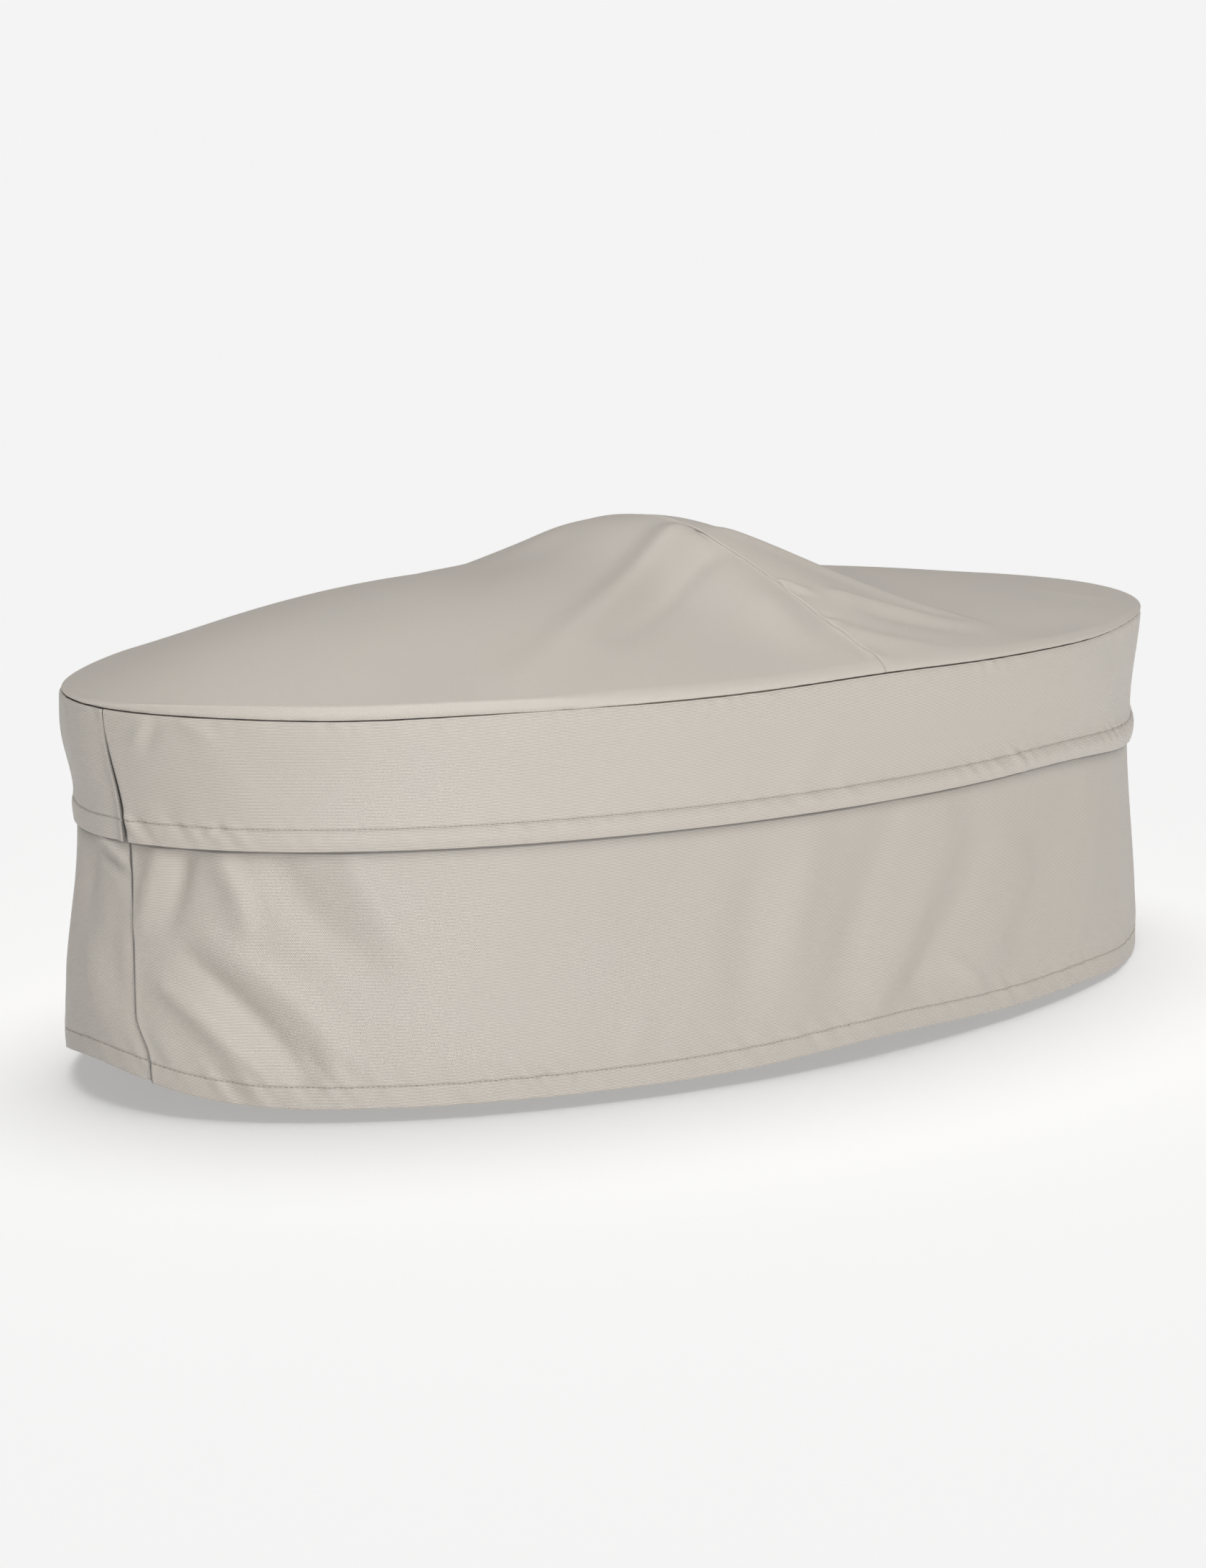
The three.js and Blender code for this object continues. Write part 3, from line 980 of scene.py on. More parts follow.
@dataclass
class Band(Wall):
    """The upper band, or flap, that hangs free over the skirt."""

    hem_height: float = BAND_HEM
    row_step: float = 3.6
    left_gap: tuple[float, float] = (1.0, 4.4)
    waist: float = 11.0
    waist_height: float = 325.0
    hem_out: float = 1.2
    hem_out_drop: float = 20.0
    rim_tuck: Bump = Bump(1.6, RIM_HEIGHT, 2.4)
    hem_swell: Bump = Bump(1.0, BAND_HEM + HEM_WIDTH / 2.0, 11.5)
    most_swell: float = 4.6
    left_loss: float = 5.2
    left_reach: float = 190.0
    seam_arc: float = -978.0
    seam_lean: float = 0.155
    roll: Bump = Bump(1.0, 3.0, 6.0)
    roll_at_rim: float = 0.5
    roll_more: float = 2.4
    roll_drop: float = 110.0
    behind_roll: Bump = Bump(-1.2, 17.0, 8.0)
    front_edge: Bump = Bump(1.0, 6.0, 8.0)
    back_swell: Bump = Bump(1.0, 388.0, 48.0)
    hang_drop: float = 30.0

    def stands_in(self, height: Array) -> Array:
        """Tucked in at the rim seam, leans in to a waist, and stands proud in the hem."""
        upper = self.waist * (1.0 - ease((height - self.waist_height) / (RIM_HEIGHT - self.waist_height)))
        lower = self.hem_out * ease((self.waist_height - height) / self.hem_out_drop)
        return upper - lower + self.rim_tuck.at(height)

    def swell(self, arc: Array, height: Array) -> Array:
        """The hem swells out most at the right end, and not at the left end."""
        most = self.most_swell - self.left_loss * self.oval.near(arc, self.oval.left_end, self.left_reach)
        return most * self.hem_swell.at(height)

    def left_seam(self, height: Array) -> Array:
        """Slants to the front on its way down."""
        return self.seam_arc + self.seam_lean * (RIM_HEIGHT - height)

    def shift(self, arc: Array, height: Array) -> Array:
        """Sags towards the right end."""
        down = (RIM_HEIGHT - height) / (RIM_HEIGHT - BAND_HEM)
        return -self.oval.flap_sag(arc) * np.square(down)

    def seam_edge(self, after: Array, before: Array, height: Array) -> Array:
        """The back piece rolls out and over at the left seam; the front piece swells beside it."""
        down = ease((RIM_HEIGHT - height) / self.roll_drop)
        if self.side is Side.BACK:
            roll = (self.roll_at_rim + self.roll_more * down) * self.roll.at(before)
            return roll + down * self.behind_roll.at(before) + self.right_tuck.at(after)
        return down * self.front_edge.at(after) + self.right_tuck.at(before)

    def detail(self, arc: Array, height: Array) -> Array:
        """Folds, gathers at the stitched line and at the rim, and uneven hang."""
        stitch = height - self.stitch_height
        total = add_folds(BAND_FOLDS, arc, height) + self.swell(arc, height)
        total += self.stitch_dip.at(stitch)
        for gathers in BAND_GATHERS:
            total += gathers.lift(arc, stitch)
        total += RIM_GATHERS.lift(arc, height - RIM_HEIGHT)
        total += self.oval.rise(arc, BACK_SWELL) * self.back_swell.at(height)
        return total + BAND_HANG.lift(arc, height) * ease((RIM_HEIGHT - height) / self.hang_drop)


# Gathers at the skirt's stitched line, and how unevenly the skirt hangs
SKIRT_GATHERS = (
    Puckers(seed=21, height=0.8, shortest=18.0, longest=52.0, slant=0.8, above=22.0, below=24.0),
    Puckers(seed=27, height=0.4, shortest=10.0, longest=24.0, slant=-0.6, above=10.0, below=16.0),
)
SKIRT_HANG = Hang(seed=9, height=0.7, shortest=120.0, longest=460.0, squash=0.7)


@dataclass
class Skirt(Wall):
    """The skirt behind the band, down to its own hem."""

    fine_rows: tuple[Spot, ...] = (Spot(282.0, 1.3, 14.0),)
    at_flap: float = 15.0
    behind_rim: float = 2.6
    at_hem: float = -4.0
    under_band: float = 2.2
    seam_arc: float = -955.0
    seam_top: float = 284.0
    seam_lean: float = 0.085
    seam_turn: float = 16.0
    turn_top: float = 78.0
    turn_drop: float = 50.0
    back_edge: Bump = Bump(-2.6, 0.0, 9.0)
    front_edge: Bump = Bump(0.8, 2.0, 5.0)
    stitch_dip: Bump = Bump(-0.7, 0.0, 1.7)
    # Painted shade under the band's hem: its soft edge, where that starts, and how much less at the left
    # end
    soft_shade: Bump = Bump(0.2, 0.0, 9.0)
    soft_start: float = 3.0
    left_loss: float = 0.6
    left_reach: float = 60.0

    def under_rim(self, arc: Array) -> Array:
        """Keeps its top edge lower than the band's, so that the rim seam stays open."""
        return self.oval.rim_gap(arc) + self.under_band

    def stands_in(self, height: Array) -> Array:
        """Keeps in behind the band, and leans out towards the hem."""
        up = np.clip((height - BAND_HEM) / (RIM_HEIGHT - BAND_HEM), 0.0, 1.0)
        upper = self.at_flap + (self.behind_rim - self.at_flap) * ease(up**3)
        lower = self.at_hem + (self.at_flap - self.at_hem) * ease(height / BAND_HEM)
        return np.where(height > BAND_HEM, upper, lower)

    def left_seam(self, height: Array) -> Array:
        """Runs nearly straight down, and turns to the front just above the hem."""
        turn = self.seam_turn * ease((self.turn_top - height) / self.turn_drop)
        return self.seam_arc + self.seam_lean * (self.seam_top - height) + turn

    def shift(self, arc: Array, height: Array) -> Array:
        """Lifts the hem at the left end and in the middle, and lets it sag at the right end."""
        return self.oval.rise(arc, SKIRT_LIFT) * np.clip(1.0 - height / BAND_HEM, 0.0, None)

    def seam_edge(self, after: Array, before: Array, height: Array) -> Array:
        """At the left seam the back piece turns in, and the front piece's edge lies over it."""
        if self.side is Side.BACK:
            return self.back_edge.at(before) + self.right_tuck.at(after)
        return self.front_edge.at(after) + self.right_tuck.at(before)

    def painted_shade(self, arc: Array, height: Array) -> Array:
        """Adds painted shade under the band's hem, sharp, with a soft edge below."""
        below = BAND_HEM - self.oval.flap_sag(arc) - height - self.shift(arc, height)
        soft = self.soft_shade.at(np.clip(below - self.soft_start, 0.0, None))
        left = 1.0 - self.left_loss * self.oval.near(arc, self.oval.left_end, self.left_reach)
        under = np.maximum(FLAP_SHADE.at(below), soft) * left
        return np.maximum(super().painted_shade(arc, height), under)

    def detail(self, arc: Array, height: Array) -> Array:
        """Folds below the band, gathers at the stitched line, and uneven hang."""
        stitch = height - self.stitch_height
        total = add_folds(SKIRT_FOLDS, arc, height) + SKIRT_HANG.lift(arc, height)
        for gathers in SKIRT_GATHERS:
            total += gathers.lift(arc, stitch)
        total += self.stitch_dip.at(stitch)
        return total * ease((BAND_HEM + HEM_WIDTH - height) / HEM_WIDTH)


class Ridge(NamedTuple):
    """The ridge along the top's long axis.

    The swell is the share of the crown's rise that falls to nothing at the end, as a power of
    the way out. The rest is a Gaussian of the given width at the crown.
    """

    swell: float
    power: float
    width: float


RIDGES = {Half.LEFT: Ridge(0.68, 2.4, 0.125), Half.RIGHT: Ridge(0.49, 1.6, 0.21)}

# How each half's cloth stands up beside the seam over the crown, and the gathers there
SEAM_LIPS = {Half.LEFT: Bump(1.0, 3.0, 3.0), Half.RIGHT: Bump(0.4, 3.0, 3.0)}
CROWN_GATHERS = Puckers(seed=33, height=0.7, shortest=16.0, longest=60.0, slant=0.7, above=16.0, below=16.0)

# Gathers of the strip at the rim seam, and how unevenly the top lies
STRIP_GATHERS = Puckers(seed=41, height=0.5, shortest=20.0, longest=70.0, slant=0.5, above=9.0, below=9.0)
TOP_HANG = Hang(seed=14, height=0.9, shortest=150.0, longest=520.0)


@dataclass
class Top:
    """The domed top, in two halves joined over the crown.

    Steps of the rings and columns are parts of the way out and radians. The round fields say
    how softly the dome bends over its ridge. The crisp fields say where the fold at the rim is
    sharp, as an arc and distances from it.
    """

    oval: Oval
    half: Half
    crown_rise: float = 150.0
    rim_rise: float = 7.0
    tilt: float = 4.0
    round_at_crown: float = 0.37
    round_far: float = 0.8
    round_reach: float = 0.22
    crown_clear: float = 90.0
    seam_dip: Bump = Bump(-2.4, 0.0, 1.4)
    pinch: Bump = Bump(1.0, -106.0, 22.0)
    crisp_arc: float = -690.0
    crisp_end: float = 330.0
    crisp_fade: float = 130.0
    crisp_radius: float = 3.5
    soft_radius: float = 12.5
    crisp_drop: float = 2.8
    steepest: float = 0.45
    lift_start: float = 0.75
    strip_tuck: float = 1.6
    strip_bow: float = 0.8
    bend_share: float = 0.9
    ring_step: float = 0.01125
    column_step: float = 0.0125
    turn_steps: int = 7
    strip_steps: int = 5

    def profile(self, x: Array, y: Array) -> Array:
        """Height of the top without its folds: the ridge, from which a hyperbola falls to the rim.

        Args:
            x: Way along the long axis.
            y: Way along the short axis.

        Returns:
            The height at each place.
        """
        u = np.clip(x / self.oval.half_length, -1.0, 1.0)
        v = np.clip(y / self.oval.half_width, -1.0, 1.0)
        shape = RIDGES[self.half]
        ridge = shape.swell * (1.0 - np.abs(u) ** shape.power) + (1.0 - shape.swell) * bell(u, shape.width)
        across = np.clip(np.abs(v) / np.sqrt(np.maximum(1.0 - u * u, 1e-6)), 0.0, 1.0)
        far = np.clip(np.abs(u) / self.round_reach, 0.0, 1.0)
        soft = self.round_at_crown + (self.round_far - self.round_at_crown) * far
        fall = (np.hypot(across, soft) - soft) / (np.hypot(1.0, soft) - soft)
        rim = RIM_HEIGHT + self.rim_rise - self.tilt * (u + v)
        return rim + self.crown_rise * ridge * (1.0 - fall)

    def folds(self, x: Array, y: Array) -> Array:
        """Height of the folds, of the seam over the crown, and of the uneven lie of the cloth."""
        u = x / self.oval.half_length
        v = y / self.oval.half_width
        inside = 1.0 - np.clip(u * u + v * v, 0.0, 1.0) ** 4
        total = add_folds(TOP_FOLDS, x, y) + TOP_HANG.lift(x, y)
        seam = np.abs(x)
        small = CROWN_GATHERS.lift(y, seam) * ease((np.abs(y) - self.crown_clear) / self.crown_clear)
        return total * inside + small + SEAM_LIPS[self.half].at(seam) + self.seam_dip.at(seam)

    def painted_shade(self, points: Array) -> Array:
        """Painted shade along the seam over the crown: sharp, uneven, deepest in the pinch below the crown.
        """
        along = points[..., 1]
        uneven = 0.5 + 0.25 * np.sin(along / 7.3) + 0.25 * np.sin(along / 17.1 + 1.0)
        deep = np.maximum(0.1 + 0.45 * uneven, self.pinch.at(along))
        return deep * TOP_SEAM_SHADE.at(np.abs(points[..., 0]))

    def crisp(self, arc: Array) -> Array:
        """Share of a crisp fold at the rim: all of it at the front left, none elsewhere."""
        return ease((self.crisp_end - self.oval.distance(arc, self.crisp_arc)) / self.crisp_fade)

    def columns(self) -> Array:
        """Angles of the grid's columns, which crowd at the seam over the crown."""
        start = -self.half.value * math.pi / 2.0
        seams = [Spot(place, 0.0018, 0.03) for place in (0.0, math.pi)]
        angle = start + graded(0.0, math.pi, self.column_step, seams)[None, :]
        return np.where(angle > math.pi, angle - 2.0 * math.pi, angle)

    def dome(self, angle: Array, arc: Array, radius: Array) -> Array:
        """Points of the dome's outer face, in rings from the crown to the fold at the rim.

        Args:
            angle: Angle of each column.
            arc: Arc of each column.
            radius: Radius of the fold at each column.

        Returns:
            The points.
        """
        shoulder = self.oval.place(angle, 0.0, -radius)
        rings = graded(0.0, 1.0, self.ring_step, [Spot(1.0, 0.003, 0.03)])[:, None]
        x = rings * shoulder[..., 0]
        y = rings * shoulder[..., 1]
        edge = self.oval.rise(arc, EDGE_RISE) + self.oval.rim_wave(arc)
        lift = edge * ease((rings - self.lift_start) / (1.0 - self.lift_start))
        return np.stack([x, y, self.profile(x, y) + self.folds(x, y) + lift], axis=-1)

    def turn(self, dome: Array, radius: Array, drop: Array, inwards: float) -> tuple[Array, Array, Array]:
        """The turn at the rim, which is the part of a quarter ellipse that starts at the dome's slope.

        With k as slope times radius over drop, the sine of its start is k over 1 less k.

        Args:
            dome: Points of the dome.
            radius: How far the turn goes out at each column.
            drop: How far it goes down.
            inwards: How deep the face lies under the outer one.

        Returns:
            How far out and how high each point is, and its way along the turn.
        """
        step = dome[-1:] - dome[-2:-1]
        slope = -step[..., 2] / np.hypot(step[..., 0], step[..., 1])
        steep = np.clip(slope * radius / drop, 0.0, self.steepest)
        sine = steep / (1.0 - steep)
        start = np.arcsin(sine)
        share = np.linspace(0.0, 1.0, self.turn_steps + 1)[1:, None]
        turn = start + (math.pi / 2.0 - start) * share
        out = radius * (np.sin(turn) - 1.0) / (1.0 - sine) - inwards * np.sin(turn)
        fall = drop * (1.0 - np.cos(turn) / np.cos(start))
        height = dome[-1:, :, 2] - fall - inwards * np.cos(turn)
        return out, height, self.bend_share * (radius + drop) / 2.0 * turn

    def strip(self, arc: Array, top: Array, bottom: Array, inwards: float) -> tuple[Array, Array]:
        """The short strip down to the rim seam: gathered, bowed out, and tucked in at the seam.

        Args:
            arc: Arc of each column.
            top: Height of its upper edge.
            bottom: Height of its lower edge.
            inwards: How deep the face lies under the outer one.

        Returns:
            How far out and how high each point is.
        """
        down = np.linspace(0.0, 1.0, self.strip_steps + 1)[1:, None]
        height = top + (bottom - top) * down
        gather = STRIP_GATHERS.lift(arc, height - bottom)
        bow = self.strip_bow * np.sin(np.pi * down)
        out = gather * down + bow - self.strip_tuck * bell(height - bottom, 2.2) - inwards
        return out, height

    def grid(self, inwards: float) -> tuple[Array, Array]:
        """Points of one face: the rings of the dome, then the turn, then the strip.

        Args:
            inwards: How deep the face lies under the outer one.

        Returns:
            The points, and U and V of the weave in metres, which runs on over the turn.
        """
        angle = self.columns()
        arc = self.oval.arc_at(angle)
        crisp = self.crisp(arc)
        radius = self.crisp_radius + (self.soft_radius - self.crisp_radius) * (1.0 - crisp)
        dome = self.dome(angle, arc, radius)
        rim = dome[-1:, :, 2]
        bottom = RIM_HEIGHT + self.oval.rim_wave(arc) + self.oval.rim_gap(arc)
        whole = np.clip(rim - bottom - 1.0, 0.5, None)
        drop = np.minimum(whole, self.crisp_drop * crisp + whole * (1.0 - crisp))
        turn_out, turn_height, around = self.turn(dome, radius, drop, inwards)
        strip_out, strip_height = self.strip(arc, rim - drop, bottom, inwards)
        under = self.bend_share * (radius + drop) * math.pi / 4.0 + (rim - drop) - strip_height
        turned = self.oval.place(angle, turn_height, turn_out)
        strip = self.oval.place(angle, strip_height, strip_out)
        points = np.concatenate([dome - np.array([0.0, 0.0, inwards]), turned, strip], axis=0)
        points[..., 0] += self.half.value * HALF_GAP
        over = np.concatenate([np.zeros(dome.shape[:2]), around, under], axis=0)
        normal = self.oval.place(angle, 0.0, 1.0) - self.oval.place(angle, 0.0, 0.0)
        flat = points[..., :2] + over[..., None] * normal[..., :2]
        return points, flat[..., ::-1] * METRE

    def mesh(self, name: str) -> bpy.types.Object:
        """Builds the half with its pole at the crown.

        Args:
            name: Name of the object.

        Returns:
            The object.
        """
        outer, weave = self.grid(0.0)
        inner, _ = self.grid(CLOTH_THICKNESS)
        return Sheet(outer, inner, weave, self.painted_shade(outer), pole=True).build(name)


# Folds of the top: the line in x and y, the heights along it, the width, and how much wider
# the fold is on the right of its line
TOP_FOLDS = (
    Fold(((-18, -95), (-107, -130), (-218, -192), (-330, -252), (-480, -325)), (14, 12, 8, 4), 21, 1.4),
    Fold(((-24, -150), (-102, -175), (-193, -225), (-290, -275)), (-11, -11, -5), 27),
    Fold(((-35, -260), (-55, -320), (-72, -372)), (7, 8, 5), 30),
    Fold(((40, -95), (120, -190), (232, -282), (275, -335)), (5, 7, 3), 15, 1.6),
    Fold(((62, -275), (151, -308), (250, -338)), (6, 7, 3), 14, 1.8),
    Fold(((80, -310), (160, -340), (240, -360)), (-5, -5, -2), 20),
    Fold(((4, -346), (47, -384), (125, -414), (190, -408)), (5, 6, 3), 14, 1.4),
    Fold(((5, -244), (20, -262), (38, -276)), (5, 4, 0), 6, 1.5),
    Fold(((8, -262), (26, -280)), (-4, -1.5), 6),
    Fold(((-3, -90), (-4, -106), (-6, -124)), (-5, -5, -2), 3.5),
    Fold(((-12, -396), (-20, -424)), (-2.4, -2), 6),
    Fold(((-28, -392), (-38, -424)), (2, 1.6), 8),
    Fold(((4, -330), (20, -338)), (4, 1.5), 6),
    Fold(((6, -318), (22, -326)), (-2.5, -1), 6),
    Fold(((4, -392), (14, -404)), (3, 1), 5),
    Fold(((-195, 75), (-260, 10), (-330, -70)), (-5, -4, -2), 50),
    Fold(((285, -396), (380, -376), (470, -345)), (3, 3.5, 2.5), 12, 1.4),
    Fold(((300, -360), (400, -335), (520, -290)), (-2.5, -3, -2), 20),
    Fold(((560, -150), (650, -200), (700, -190)), (2.5, 3, 1.5), 24),
    Fold(((-620, -230), (-560, -150), (-470, -80)), (2, 2.5, 1), 40),
    Fold(((120, 240), (200, 330)), (3, 2), 34),
    Fold(((-260, 300), (-150, 180)), (2.5, 3), 40),
    Fold(((-150, 92), (-80, 112), (-20, 120)), (2, 5, 3), 42),
    Fold(((-30, 10), (10, 16)), (-2.5, -2.5), 40),
    Fold(((50, 20), (165, 30)), (-7, -6), 45),
)

# Folds of the band: the line in arc and height, then the same columns
BAND_FOLDS = (
    Fold(((-913, 434), (-924, 420), (-935, 404)), (3, 4, 1.5), 6, 1.6),
    Fold(((-902, 428), (-912, 412), (-920, 396)), (-2, -3, -1), 8),
    Fold(((-870, 438), (-852, 426), (-834, 416)), (2.2, 3, 1.4), 8, 1.5),
    Fold(((-847, 412), (-815, 370), (-800, 330)), (1.5, 1.8, 1.2), 26),
    Fold(((-905, 350), (-880, 300)), (-1.6, -2), 16),
    Fold(((-89, 374), (-112, 345), (-135, 318)), (2.2, 2.6, 1.4), 12, 1.6),
    Fold(((-40, 345), (-62, 318)), (1.2, 1.6), 12),
    Fold(((540, 385), (505, 360), (480, 335)), (2.2, 2.2, 1), 12, 1.7),
    Fold(((4, 322), (34, 317)), (-1.5, -1.5), 4),
    Fold(((2965, 400), (2950, 340)), (1.8, 1.5), 20),
    Fold(((2880, 420), (2900, 330)), (-1.5, -1.5), 26),
    Fold(((1500, 420), (1530, 320)), (1.5, 2), 30),
    Fold(((2100, 425), (2140, 320)), (2, 1.5), 34),
)

# Folds of the skirt: the line in arc and height, then the same columns
SKIRT_FOLDS = (
    Fold(((-908, 128), (-860, 100), (-822, 68), (-788, 34), (-778, 8)), (5, 9, 9, 6, 2), 14, 1.15),
    Fold(((-880, 165), (-830, 130), (-785, 92), (-745, 50), (-736, 26)), (-4, -8, -9, -7, -3), 15),
    Fold(((-862, 196), (-805, 162), (-748, 122), (-704, 72), (-690, 34)), (3, 7, 8, 6, 2), 17, 1.2),
    Fold(((-912, 282), (-928, 230), (-938, 176)), (6, 7, 3), 13),
    Fold(((-878, 282), (-888, 232), (-903, 185)), (-7.5, -7.5, -3), 13),
    Fold(((-838, 284), (-812, 240), (-802, 190)), (7, 8, 3), 14, 1.3),
    Fold(((-775, 284), (-738, 226), (-690, 180), (-650, 136)), (-6, -6.5, -5, -2), 24),
    Fold(((-694, 284), (-664, 240), (-632, 195), (-605, 155)), (5, 7, 5, 2), 17, 1.6),
    Fold(((-905, 62), (-885, 30)), (3, 2), 13),
    Fold(((-735, 70), (-722, 36)), (-2.4, -2), 8),
    Fold(((-697, 56), (-684, 30)), (-2.4, -1.6), 7),
    Fold(((-578, 62), (-566, 40), (-556, 26)), (1.6, 2.6, 1.2), 9, 1.4),
    Fold(((-339, 82), (-352, 56), (-364, 32)), (2.2, 2.6, 1.4), 12, 1.5),
    Fold(((-565, 24), (-548, 14), (-535, 2)), (1.4, 2.4, 2), 9, 1.4),
    Fold(((-180, 240), (-205, 130), (-215, 60)), (-4, -5, -3), 30),
    Fold(((-92, 270), (-130, 166), (-152, 90)), (5, 6, 3), 27),
    Fold(((42, 284), (-20, 182), (-56, 108), (-92, 44)), (-5, -7, -7, -3), 27),
    Fold(((146, 262), (86, 182), (44, 126), (-24, 40)), (6, 9, 9, 6), 25, 1.2),
    Fold(((205, 225), (148, 146), (102, 98), (48, 44)), (-5, -8, -9, -6), 24),
    Fold(((300, 190), (218, 114), (150, 50)), (5.5, 8, 5.5), 25, 1.4),
    Fold(((345, 172), (290, 110), (240, 55)), (-5, -5, -3), 24),
    Fold(((120, 84), (160, 54), (178, 36)), (1.4, 3.0, 2.2), 10, 1.4),
    Fold(((86, 72), (40, 46), (10, 36)), (-1.6, -2.6, -2), 9),
    Fold(((240, 90), (205, 55), (170, 26)), (1.5, 2, 1.5), 14, 1.5),
    Fold(((402, 80), (380, 55), (356, 30)), (2.5, 2.5, 1.5), 14, 1.5),
    Fold(((480, 260), (430, 160), (400, 90)), (4, 5, 3), 32),
    Fold(((2966, 289), (2990, 281), (3022, 264)), (5, 7, 3), 8, 1.2),
    Fold(((2972, 270), (2996, 258), (3020, 246)), (-3, -5, -3), 8),
    Fold(((2953, 270), (2950, 225), (2951, 180)), (-4, -4, -2.5), 16),
    Fold(((2915, 268), (2900, 180), (2890, 90)), (3, 4, 3), 24),
    Fold(((2958, 150), (2975, 90), (3010, 45)), (3, 3.5, 2), 22),
    Fold(((3015, 210), (3000, 150), (3020, 95)), (-2.5, -3, -2), 16),
    Fold(((2890, 170), (2890, 80), (2890, 10)), (4, 5, 6), 90),
    Fold(((1280, 255), (1300, 150), (1320, 60)), (4, 4, 3), 40),
    Fold(((1700, 250), (1660, 140), (1640, 40)), (-4, -5, -3), 36),
    Fold(((1930, 240), (1975, 150), (2020, 60)), (4, 5, 3), 38),
    Fold(((2420, 250), (2400, 150), (2440, 50)), (4, 4, 3), 42),
    Fold(((2620, 230), (2660, 120), (2700, 40)), (-4, -4, -2), 34),
)


@dataclass
class Cover:
    """The whole cover: its pieces of cloth, which hide the model's parts, and its stitches."""

    oval: Oval
    cloths: dict[str, bpy.types.Material]
    thread: bpy.types.Material
    front_step: float = 4.4
    back_step: float = 6.4
    skirt_step_more: float = 0.2

    def dress(self, made: bpy.types.Object, finish: bpy.types.Material) -> bpy.types.Object:
        """Gives a piece its finish and the body it rides on, and reports it."""
        made.data.materials.append(finish)
        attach(made, "root")
        LOG.info("%s: %d faces", made.name, len(made.data.polygons))
        return made

    def build_top(self, half: Half) -> None:
        """Builds one half of the top."""
        word = half.name.lower()
        made = self.dress(Top(self.oval, half).mesh(f"cover_top_{word}"), self.cloths["top"])
        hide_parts(f"top_{word}")

    def build_wall(self, wall: Wall, word: str) -> None:
        """Builds one piece of a wall with its stitches.

        Args:
            wall: The band or the skirt, on its side.
            word: The first word of its names.
        """
        side = wall.side.value
        made = self.dress(wall.mesh(f"cover_{word}_{side}"), self.cloths[word])
        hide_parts(f"{word}_{side}")
        sewn = self.dress(wall.stitches(f"stitches_{word}_{side}"), self.thread)

    def build(self) -> None:
        """Builds every piece."""
        for half in Half:
            self.build_top(half)
        for side in Side:
            step = self.front_step if side is Side.FRONT else self.back_step
            self.build_wall(Band(self.oval, side, step), "band")
            self.build_wall(Skirt(self.oval, side, step + self.skirt_step_more), "skirt")


class Sun(NamedTuple):
    """A distant soft light: degrees to the left of straight in front, up and wide, and its power."""

    name: str
    aside: float
    up: float
    wide: float
    power: float

    def build(self) -> bpy.types.Object:
        """Makes the light.

        Returns:
            The light.
        """
        aside, up = math.radians(self.aside), math.radians(self.up)
        flat = math.cos(up)
        towards = Vector((-math.sin(aside) * flat, -math.cos(aside) * flat, math.sin(up)))
        data = bpy.data.lights.new(self.name, "SUN")
        data.energy = self.power
        data.angle = math.radians(self.wide)
        made = bpy.data.objects.new(self.name, data)
        made.rotation_mode = "QUATERNION"
        made.rotation_quaternion = (-towards).to_track_quat("-Z", "Y")
        return into_scene(made)


SUNS_ON_CLOTH = (
    Sun("low_key", 20.0, 6.0, 30.0, 1.64),
    Sun("high_key", 20.0, 45.0, 40.0, 1.22),
    Sun("front", -7.0, 8.0, 22.0, 0.34),
    Sun("above_behind", 150.0, 60.0, 50.0, 1.36),
    Sun("right_behind", -120.0, 50.0, 50.0, 0.22),
)
SUN_ON_FLOOR = Sun("over_floor", 221.0, 78.0, 50.0, 1.557)


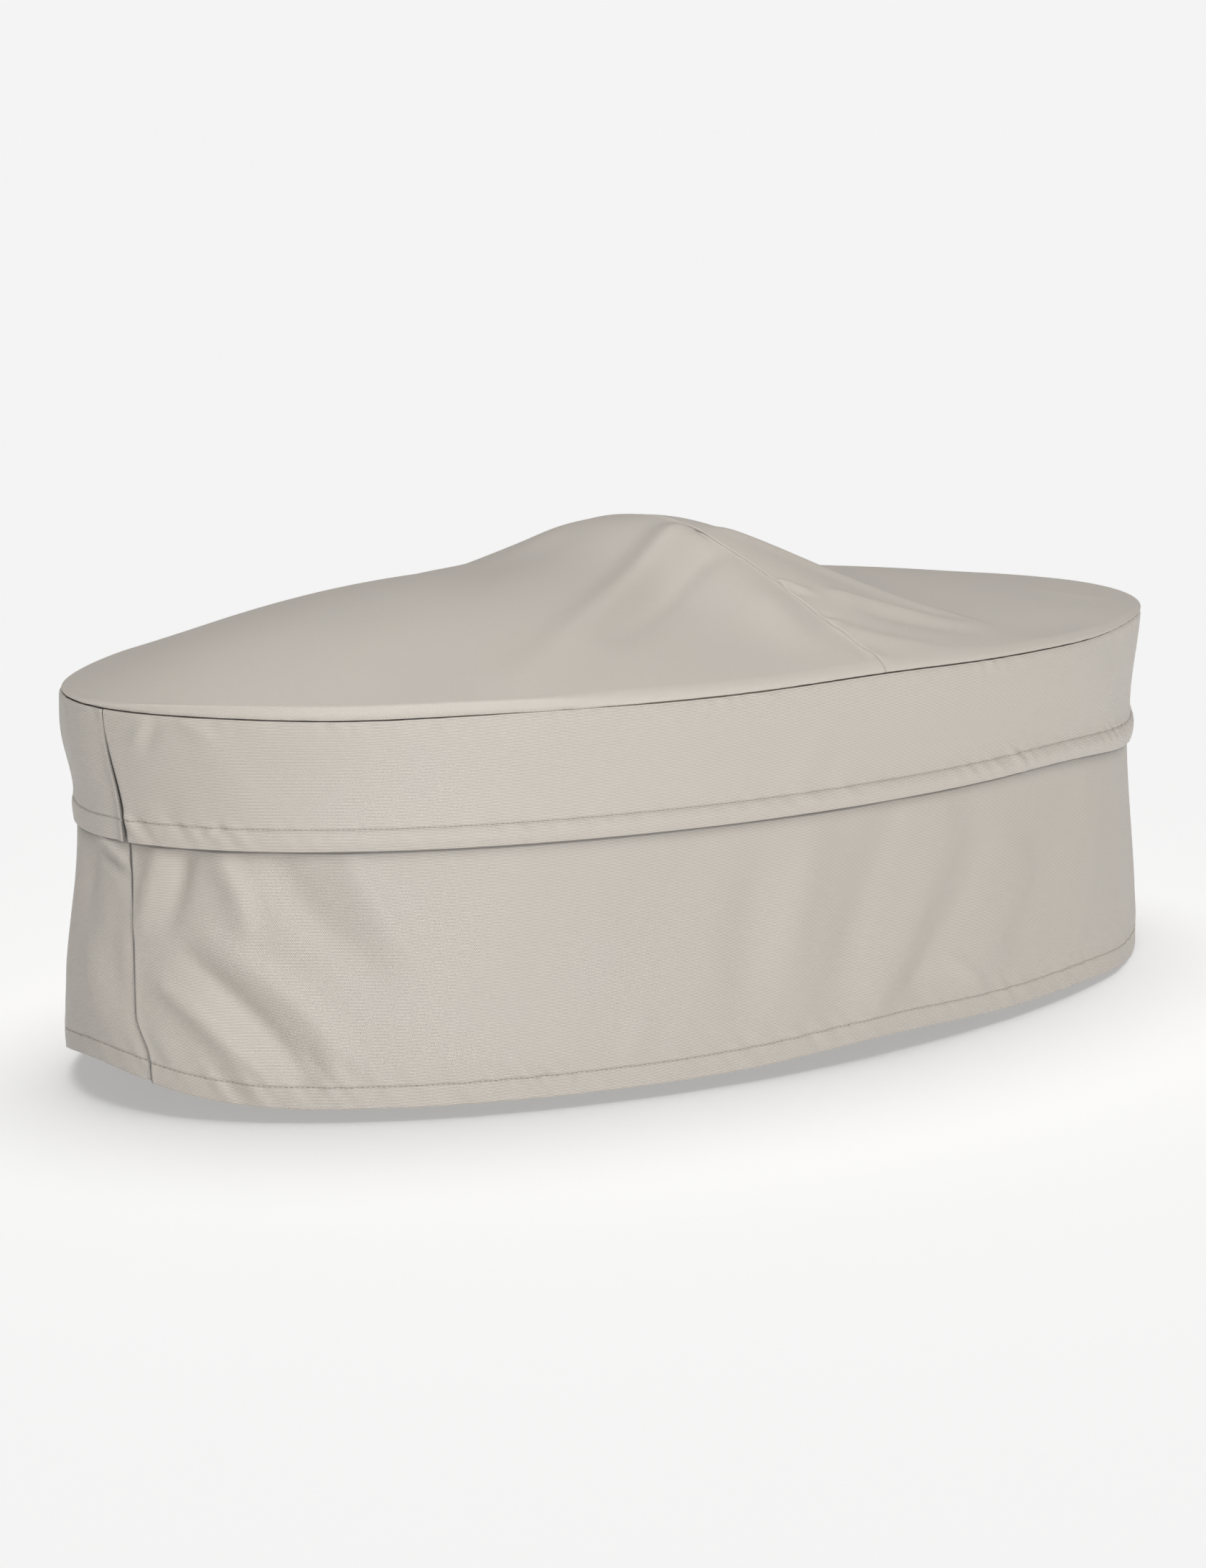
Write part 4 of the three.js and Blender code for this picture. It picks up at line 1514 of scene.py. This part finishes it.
@dataclass
class Studio:
    """Camera, floor and soft lights, in metres in the row frame."""

    eye: tuple[float, float, float] = (-2.9883, -3.3802, 0.4951)
    look: tuple[float, float, float] = (0.6431, 0.7437, -0.1826)
    lens: float = 83.065
    sensor_width: float = 36.0
    far: float = 300.0
    room: float = 0.125
    floor_half: float = 200.0
    floor_grey: float = 0.94
    floor_glow: float = 0.33
    backdrop_glow: float = 0.905
    backdrop_sides: int = 96
    backdrop_share: float = 0.98
    backdrop_low: float = -1.0

    def camera(self) -> None:
        """Makes the camera at the photograph's place."""
        data = bpy.data.cameras.new("camera")
        data.lens = self.lens
        data.sensor_width = self.sensor_width
        data.clip_end = self.far
        made = bpy.data.objects.new("camera", data)
        made.location = self.eye
        made.rotation_mode = "QUATERNION"
        made.rotation_quaternion = Vector(self.look).to_track_quat("-Z", "Y")
        bpy.context.scene.camera = into_scene(made)

    def lights(self, floor: bpy.types.Object) -> None:
        """Adds the even light of the room, soft lights on the cloth alone, and one on the floor.

        Args:
            floor: The floor, which the lights on the cloth miss.
        """
        world = bpy.data.worlds.new("room")
        world.use_nodes = True
        back = world.node_tree.nodes["Background"]
        back.inputs["Color"].default_value = (1.0, 1.0, 1.0, 1.0)
        back.inputs["Strength"].default_value = self.room
        bpy.context.scene.world = world
        for sun in SUNS_ON_CLOTH:
            self.aim(sun.build(), floor, "EXCLUDE")
        self.aim(SUN_ON_FLOOR.build(), floor, "INCLUDE")

    def aim(self, light: bpy.types.Object, floor: bpy.types.Object, state: str) -> None:
        """Makes a light miss the floor, or light the floor alone."""
        group = bpy.data.collections.new(f"{light.name}_receivers")
        group.objects.link(floor)
        group.collection_objects[0].light_linking.link_state = state
        light.light_linking.receiver_collection = group

    def stage(self, name: str, points: list, faces: list, finish: PlainGlow) -> bpy.types.Object:
        """Makes a plain mesh of the studio.

        Args:
            name: Name of the object.
            points: Its points.
            faces: Its faces, as lists of point numbers.
            finish: Its finish.

        Returns:
            The object, which is no part of the cover.
        """
        mesh = bpy.data.meshes.new(name)
        mesh.from_pydata(points, [], faces)
        mesh.materials.append(finish.material())
        made = into_scene(bpy.data.objects.new(name, mesh))
        return made

    def floor(self) -> bpy.types.Object:
        """Makes the floor, just under the hem."""
        half = self.floor_half
        level = (FLOOR_HEIGHT - CROWN_UNDERSIDE) * METRE
        corners = [(-half, -half, level), (half, -half, level), (half, half, level), (-half, half, level)]
        finish = PlainGlow("pale_floor", self.floor_grey, self.floor_glow, 1.0)
        return self.stage("floor", corners, [(0, 1, 2, 3)], finish)

    def backdrop(self) -> None:
        """Makes a far bright wall all round that only the camera sees."""
        count = self.backdrop_sides
        turn = np.arange(count) * 2.0 * np.pi / count
        ring = np.stack([np.cos(turn), np.sin(turn)], axis=-1) * self.floor_half * self.backdrop_share
        low = np.column_stack([ring, np.full(count, self.backdrop_low)])
        high = np.column_stack([ring, np.full(count, self.floor_half)])
        k = np.arange(count)
        n = (k + 1) % count
        faces = np.stack([n, k, k + count, n + count], axis=-1).tolist()
        finish = PlainGlow("backdrop_glow", 0.0, self.backdrop_glow, 0.5)
        made = self.stage("backdrop", np.concatenate([low, high]).tolist(), faces, finish)
        made.visible_diffuse = False
        made.visible_glossy = False
        made.visible_shadow = False

    def build(self) -> None:
        """Builds the whole studio."""
        bpy.context.scene.view_settings.view_transform = "Standard"
        bpy.context.scene.view_settings.look = "None"
        self.camera()
        self.lights(self.floor())
        self.backdrop()


def main() -> None:
    """Builds the studio, then the cover."""
    logging.basicConfig(level=logging.INFO, format="%(name)s: %(message)s")
    Studio().build()
    # Each piece's cloth is a copy painted lighter or darker, as painted light for how that piece is lit
    cloths = {
        "top": RibbedCloth("ribbed_cloth_top", painted_light=1.1, dark=0.78, light=1.16, bump=0.35).material(),
        "band": RibbedCloth("ribbed_cloth_band", painted_light=1.03).material(),
        "skirt": RibbedCloth("ribbed_cloth_skirt", painted_light=0.98).material(),
    }
    Cover(Oval(), cloths, Thread().material()).build()


if __name__ == "__main__":
    main()
